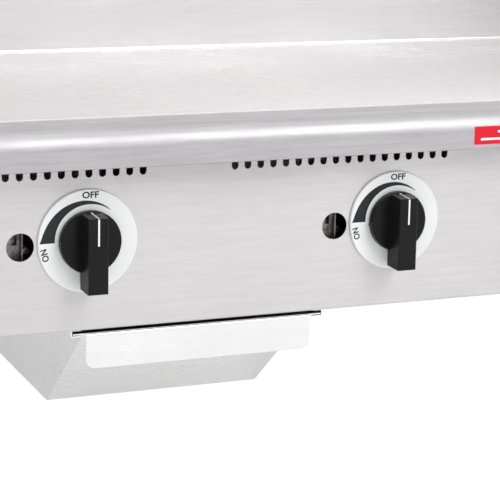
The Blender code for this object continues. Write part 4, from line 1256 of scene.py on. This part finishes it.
# %% Tray handle
HANDLE_BACK, HANDLE_FOLD, HANDLE_CORNER = 0.0034, 0.0030, 0.0085
low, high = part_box("tray_handle")
line = [(low.y + HANDLE_BACK, high.z), (low.y, high.z, HANDLE_FOLD), (low.y, low.z)]
handle = folded("tray_handle_sheet", line, "X", low.x, high.x, SHEET, (low.y + 0.010, low.z))
pick(handle, "EDGE", lambda edge: runs_along(edge, "Y") and near(middle(edge).z, low.z, 5e-4))
bpy.ops.mesh.bevel(offset=HANDLE_CORNER, segments=10, affect="EDGES")
soften(handle, 0.00035)
fit(handle, "tray", "brushed_stainless", tray_steel_painted_light, "tray_handle")
print("handle", [round(v, 3) for v in high - low])

# %% [markdown]
# ## Tray rails
#
# Two channels under the body hold the tray's rim. Each is a strip with two folds, drawn from its end,
# and the left one is the right one's mirror only in where its web stands.

# %% Tray rails
RAIL_CHANNEL_FOLD = 0.0012
for side in ("left", "right"):
    name = side + "_tray_rail"
    low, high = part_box(name)
    web, lip = (low.x, high.x) if side == "left" else (high.x, low.x)
    line = [(lip, low.z), (web, low.z, RAIL_CHANNEL_FOLD), (web, high.z, RAIL_CHANNEL_FOLD), (lip, high.z)]
    channel = folded(name + "_sheet", line, "Y", low.y, high.y, SHEET, (lip, (low.z + high.z) / 2))
    soften(channel, 0.0002)
    fit(channel, "chassis", "galvanised_sheet", tray_steel_painted_light, name)
print("rails", round(high.y - low.y, 3), "m long")

# %% [markdown]
# ## Legs
#
# A leg is a tube welded to a round flange, with a small fillet at the weld and a taper at its lower
# end, and four bolts hold the flange. The tube's section is spun in one go, hollow for the foot's
# stud. A bolt's head is spun too, in six steps, which makes it a hexagon.

# %% Leg and bolts
FLANGE_RADIUS, TUBE_RADIUS, FOOT_RADIUS, STUD_RADIUS, BORE = 0.032, 0.023, 0.019, 0.008, 0.0084
FLANGE_THICK, FLANGE_EASE, LEG_FILLET = 0.0040, 0.0004, 0.0026
leg_low, leg_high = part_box("leg_front_left")
foot_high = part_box("foot_front_left")[1]
leg_middle = middle_of("leg_front_left")
base = Vector((leg_middle.x, leg_middle.y, 0))
top, bottom, bore_top = leg_high.z, leg_low.z, foot_high.z + 0.0043
weld = top - 0.0042
leg_profile = [(top, 0), (top, FLANGE_RADIUS - FLANGE_EASE), (top - FLANGE_EASE, FLANGE_RADIUS),
               (top - FLANGE_THICK + FLANGE_EASE, FLANGE_RADIUS),
               (top - FLANGE_THICK, FLANGE_RADIUS - FLANGE_EASE), (weld, TUBE_RADIUS + LEG_FILLET)]
leg_profile += [(weld - LEG_FILLET * (1 - math.cos(t)), TUBE_RADIUS + LEG_FILLET * (1 - math.sin(t)))
                for t in ROUNDING[1:]]
leg_profile += [(bottom + 0.0125, TUBE_RADIUS), (bottom + 0.0112, TUBE_RADIUS - 0.0004),
                (bottom + 0.0012, FOOT_RADIUS + 0.0004), (bottom, FOOT_RADIUS - 0.0006), (bottom, BORE),
                (bore_top, BORE), (bore_top, 0)]
leg = turned("leg_tube", leg_profile, base, "Z", 64)
smooth(leg, 40)
BOLT_CIRCLE, BOLT_RADIUS = 0.0280, 0.0026
bolt_profile = [(top - 0.0041, 0), (top - 0.0041, BOLT_RADIUS), (top - 0.0060, BOLT_RADIUS),
                (top - 0.0064, BOLT_RADIUS - 0.0005), (top - 0.0064, 0)]
hex_head = turned("flange_bolt", bolt_profile, base + Vector((BOLT_CIRCLE, 0, 0)), "Z", 6)
bolts = [hex_head]
for shift in ((-1, 1, 0), (-1, -1, 0), (-2, 0, 0)):
    bolts.append(copy_of(hex_head, "flange_bolt", [way * BOLT_CIRCLE for way in shift]))
leg_bolts = join(bolts, "leg_bolts")
print("leg:", len(leg.data.polygons), "faces, bolts:", len(bolts))

# %% [markdown]
# ## Feet
#
# The foot screws up into the leg on a threaded stud, and has two grooves for the fingers that turn it.
# Real threads are helices. Rings at the thread's pitch look the same inside the leg and spin with the
# rest, so the whole foot is one section.

# %% Foot
GROOVE_DEPTH, THREAD_DEPTH, THREAD_PITCH = 0.0008, 0.0006, 0.0016
foot_profile = [(0, 0), (0, FOOT_RADIUS - 0.0032), (0.0010, FOOT_RADIUS - 0.0012), (0.0032, FOOT_RADIUS)]
for groove in (0.0080, 0.0130):
    deep = FOOT_RADIUS - GROOVE_DEPTH
    foot_profile += [(groove, FOOT_RADIUS), (groove + 0.0006, deep), (groove + 0.0016, deep),
                     (groove + 0.0022, FOOT_RADIUS)]
shoulder = bottom - GAP
root = STUD_RADIUS - THREAD_DEPTH
foot_profile += [(shoulder - 0.008, FOOT_RADIUS), (shoulder, FOOT_RADIUS - 0.004), (shoulder, root)]
thread = shoulder + 0.0010
while thread < foot_high.z - 0.0030:
    foot_profile += [(thread, root), (thread + THREAD_PITCH / 2, STUD_RADIUS)]
    thread += THREAD_PITCH
foot_profile += [(foot_high.z - 0.0008, root), (foot_high.z, STUD_RADIUS - 0.0018), (foot_high.z, 0)]
foot = turned("foot_bullet", foot_profile, base, "Z", 48)
smooth(foot, 32)
print("foot:", len(foot.data.polygons), "faces")

# %% Four of each
for corner in ("front_left", "front_right", "back_left", "back_right"):
    target = middle_of("leg_" + corner)
    shift = Vector((target.x, target.y, 0)) - base
    set_of = (leg, leg_bolts, foot)
    if corner != "front_left":
        set_of = [copy_of(piece, "", shift) for piece in set_of]
    for piece, label in zip(set_of, ("leg_tube_", "leg_bolts_", "foot_bullet_")):
        piece.name = label + corner
    fit(set_of[0], "chassis", "brushed_stainless", leg_steel, "leg_" + corner)
    fit(set_of[1], "chassis", "brushed_stainless", leg_steel)
    fit(set_of[2], f"foot_{corner}_body", "brushed_stainless", leg_steel, "foot_" + corner)
print("legs and feet set at four corners")

# %% [markdown]
# ## Label on the rail
#
# A plain red vinyl label with white bars is stuck on the rail, and its top edge follows the nose. It
# starts as a flat rounded rectangle in front of the rail, is cut into rows that can bend, and is laid
# on the rail by Shrinkwrap. The bars are laid on the label in the same way.

# %% Label
rail_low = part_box("front_rail")[0]
LABEL_LEFT, LABEL_RIGHT, LABEL_BASE, LABEL_TOP = -0.030, 0.052, 0.2608, 0.2778
VINYL, BAR_INK, BAR_HALF = 0.00015, 0.00008, 0.0011


def stuck_on(name, target, left, right, base_z, top_z, thick, corner, rows):
    """A thin rounded rectangle, laid on what it is stuck to and following its curve."""
    in_front = rail_low.y - 0.004
    outline = [(x, in_front, z) for x, z in ((left, base_z), (right, base_z), (right, top_z), (left, top_z),
                                             (left, base_z))]
    patch = draw(name, outline)
    bpy.ops.mesh.remove_doubles(threshold=2e-6)
    bpy.ops.mesh.select_all(action="SELECT")
    bpy.ops.mesh.edge_face_add()
    bpy.ops.mesh.bevel(offset=corner, segments=5, affect="VERTICES")
    for row in range(1, rows):
        bpy.ops.mesh.select_all(action="SELECT")
        height = base_z + (top_z - base_z) * row / rows
        bpy.ops.mesh.bisect(plane_co=(left, in_front, height), plane_no=(0, 0, 1))
    bpy.ops.mesh.select_all(action="SELECT")
    bpy.ops.mesh.normals_make_consistent(inside=False)
    if bmesh.from_edit_mesh(patch.data).faces[:][0].normal.y > 0:
        bpy.ops.mesh.flip_normals()
    let_go()
    settle(patch)
    use(patch, "SHRINKWRAP", target=target, wrap_method="PROJECT", use_project_y=True,
        use_positive_direction=True, use_negative_direction=False)
    use(patch, "SOLIDIFY", thickness=thick, offset=1)
    smooth(patch, 30)
    return patch


label = stuck_on("rail_label", rail, LABEL_LEFT, LABEL_RIGHT, LABEL_BASE, LABEL_TOP, VINYL, 0.0012, 12)
label_middle = (LABEL_LEFT + LABEL_RIGHT) / 2
bars = []
for rise, half in ((0.0118, 0.016), (0.0050, 0.034)):
    bars.append(stuck_on("label_bar", label, label_middle - half, label_middle + half,
                         LABEL_BASE + rise - BAR_HALF, LABEL_BASE + rise + BAR_HALF, BAR_INK, 0.0004, 2))
bars = join(bars, "rail_label_bars")
smooth(bars, 30)
fit(label, "chassis", "bezel_white", label_red)
fit(bars, "chassis", "bezel_white", label_white)
print("label", round(LABEL_RIGHT - LABEL_LEFT, 3), "m wide")

# %% [markdown]
# ## Gas jets
#
# A brass jet on the back of each valve blows gas into its burner's mouth. It is a nut, turned round
# rather than six-sided, and a cone with a tiny bore, all of it one turned section.

# %% Gas jets
jet_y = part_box("valve_1")[1].y - FACE
NUT_RADIUS, BORE_RADIUS, JET_LENGTH = 0.0055, 0.0008, 0.0185
jet_profile = [(jet_y, 0), (jet_y, NUT_RADIUS), (jet_y + 0.007, NUT_RADIUS), (jet_y + 0.0074, 0.0045),
               (jet_y + 0.014, 0.0042), (jet_y + JET_LENGTH, 0.0024), (jet_y + JET_LENGTH, BORE_RADIUS),
               (jet_y + 0.0165, BORE_RADIUS), (jet_y + 0.0165, 0)]
jet = turned("burner_jet_1", jet_profile, knob_places["1"], "Y", 24)
smooth(jet, 30)
in_each_bay(jet, "burner_jet_", "chassis", "brass", brass)
print("jets:", len(BAYS))

# %% [markdown]
# ## Pilot brackets
#
# Behind each sight hole a slotted bracket carries the pilot, and the brass nut of its pipe shows beside
# it. The bracket is a folded strip with its slot cut out, and the nut is a turned section in six steps.

# %% Pilot brackets and nuts
BRACKET_Y, BRACKET_EDGE = 0.0145, 0.0045
line = [(sight.x - 0.013, FACE + BRACKET_Y), (sight.x + BRACKET_EDGE, FACE + BRACKET_Y, 0.0015),
        (sight.x + BRACKET_EDGE, FACE + 0.0065)]
bracket = folded("pilot_bracket", line, "Z", sight.z - 0.016, sight.z + 0.012, 0.0012,
                 (sight.x, FACE + 0.030))
combine(bracket, block("slit", (sight.x - 0.0030, FACE + 0.010, sight.z - 0.0005),
                       (sight.x + 0.0010, FACE + 0.018, sight.z + 0.013)))
soften(bracket, 0.0003)
nut_profile = [(-0.006, 0), (-0.006, 0.0032), (-0.0052, 0.0040), (0.0052, 0.0040), (0.006, 0.0032),
               (0.006, 0)]
nut = turned("pilot_nut", nut_profile, sight + Vector((0.0105, 0.0215, -0.0070)), "Y", 6)
soften(nut, 0.0003)
in_each_bay(bracket, "pilot_bracket_", "chassis", "burner_steel", burner_steel)
in_each_bay(nut, "pilot_nut_", "chassis", "brass", brass)
print("pilot brackets and nuts:", len(BAYS), "of each")

# %% [markdown]
# ## Screws
#
# Pan-head screws hold the sides and the back to the frame inside. One head is a turned dome with a
# cross cut into it. It is then copied along each panel and joined, so a panel's screws are one piece.

# %% One screw
dome = [(-0.0003, 0), (-0.0003, 0.0036), (0.0006, 0.0036), (0.0013, 0.0031), (0.0018, 0.0022),
        (0.0020, 0.0010), (0.0020, 0)]
CROSS_LONG, CROSS_WIDE, CROSS_FLOOR, CROSS_TOP = 0.0019, 0.2, 0.0010, 0.0030


def screw(name, at, axis, outward):
    """A pan-head screw with a cross recess."""
    head = turned(name, [(along * outward, radius) for along, radius in dome], at, axis, 24)
    out = AXES[axis] * outward
    reach = AXES["Z"] * CROSS_LONG, (AXES["X"] if axis == "Y" else AXES["Y"]) * CROSS_LONG
    for long, wide in (reach, reach[::-1]):
        spread_of = long + wide * CROSS_WIDE
        corner_a, corner_b = at - spread_of + out * CROSS_FLOOR, at + spread_of + out * CROSS_TOP
        low_corner = [min(a, b) for a, b in zip(corner_a, corner_b)]
        high_corner = [max(a, b) for a, b in zip(corner_a, corner_b)]
        combine(head, block("recess", low_corner, high_corner))
    smooth(head, 35)
    return head


def row_of(first, name, shifts):
    """Joins a screw with its copies, and fits them as one piece."""
    heads = [first] + [copy_of(first, "screw", shift) for shift in shifts]
    fit(join(heads, name), "chassis", "brushed_stainless", leg_steel)
    return len(heads)


print("screw shape ready")

# %% Screws on the sides and the back
side_low, side_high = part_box("left_side_panel")
right_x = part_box("right_side_panel")[1].x
first_left = Vector((side_low.x, side_low.y + 0.020, side_low.z + 0.030))
tall, deep = side_high.z - side_low.z - 0.055, side_high.y - side_low.y - 0.040
shares = ((0, 1), (0.5, 0), (0.5, 1), (1, 0), (1, 1))
shifts = [(0, deep * share_y, tall * share_z) for share_y, share_z in shares]
left_screw = screw("screw_left", first_left, "X", -1)
right_screw = screw("screw_right", Vector((right_x, first_left.y, first_left.z)), "X", 1)
screws = row_of(left_screw, "side_screws_left", shifts) + row_of(right_screw, "side_screws_right", shifts)
back_low, back_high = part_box("back_panel")
first_back = Vector((back_low.x + 0.020, back_high.y, back_low.z + 0.025))
wide, tall = back_high.x - back_low.x - 0.040, back_high.z - back_low.z - 0.040
fifths = [share / 5 for share in range(6)]
shares = [(share, 0) for share in fifths[1:]] + [(share, 1) for share in fifths] + [(0, 0.5), (1, 0.5)]
shifts = [(wide * share_x, 0, tall * share_z) for share_x, share_z in shares]
screws += row_of(screw("screw_back", first_back, "Y", 1), "back_screws", shifts)
print("screws:", screws)

# %% [markdown]
# ## Inlet thread
#
# The supply pipe ends behind the body in a pipe thread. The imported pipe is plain, so a thin sleeve of
# rings is spun round its end. It rides with the chassis and leaves the pipe's own mesh alone.

# %% Inlet thread
INLET_PITCH, CREST, VALLEY = 0.0018, 0.0007, -0.0002
pipe_centre = Vector((pipe_x, 0, pipe_z))
inlet_start, inlet_root = back_high.y + 0.004, pipe_radius - 0.0003
thread_profile = [(inlet_start, inlet_root)]
along = inlet_start + 0.0005
while along < pipe_high.y - 0.0020:
    thread_profile += [(along, pipe_radius + VALLEY), (along + INLET_PITCH / 2, pipe_radius + CREST)]
    along += INLET_PITCH
thread_profile += [(pipe_high.y - 0.0004, inlet_root), (inlet_start, inlet_root)]
inlet = turned("inlet_thread", thread_profile, pipe_centre, "Y", 48)
smooth(inlet, 30)
fit(inlet, "chassis", "black_iron_pipe", black_iron)
print("inlet thread:", round(pipe_high.y - inlet_start, 4), "m")

# %% [markdown]
# ## Finishes for the pieces kept as packed
#
# The pieces inside the shell are right as they stand, so they keep their meshes and only change
# material.

# %% Kept pieces
kept = {"bottom_pan": galvanised, "grease_trough": front_steel, "grease_chute": side_steel,
        "left_plate_rest": galvanised, "right_plate_rest": galvanised, "back_plate_rest": galvanised,
        "firewall": galvanised, "burner_rest": burner_steel, "manifold_pipe": black_iron,
        "gas_supply_pipe": black_iron}
for bay in BAYS:
    kept["burner_" + bay] = burner_steel
    kept["valve_" + bay] = aluminium
    kept["pilot_valve_" + bay] = smoked_brass
    kept["pilot_tube_" + bay] = aluminium
    kept["valve_stem_" + bay] = brass
for name, paint in kept.items():
    for holder in nodes[name].material_slots:
        holder.material = paint
print("repainted", len(kept), "kept pieces")
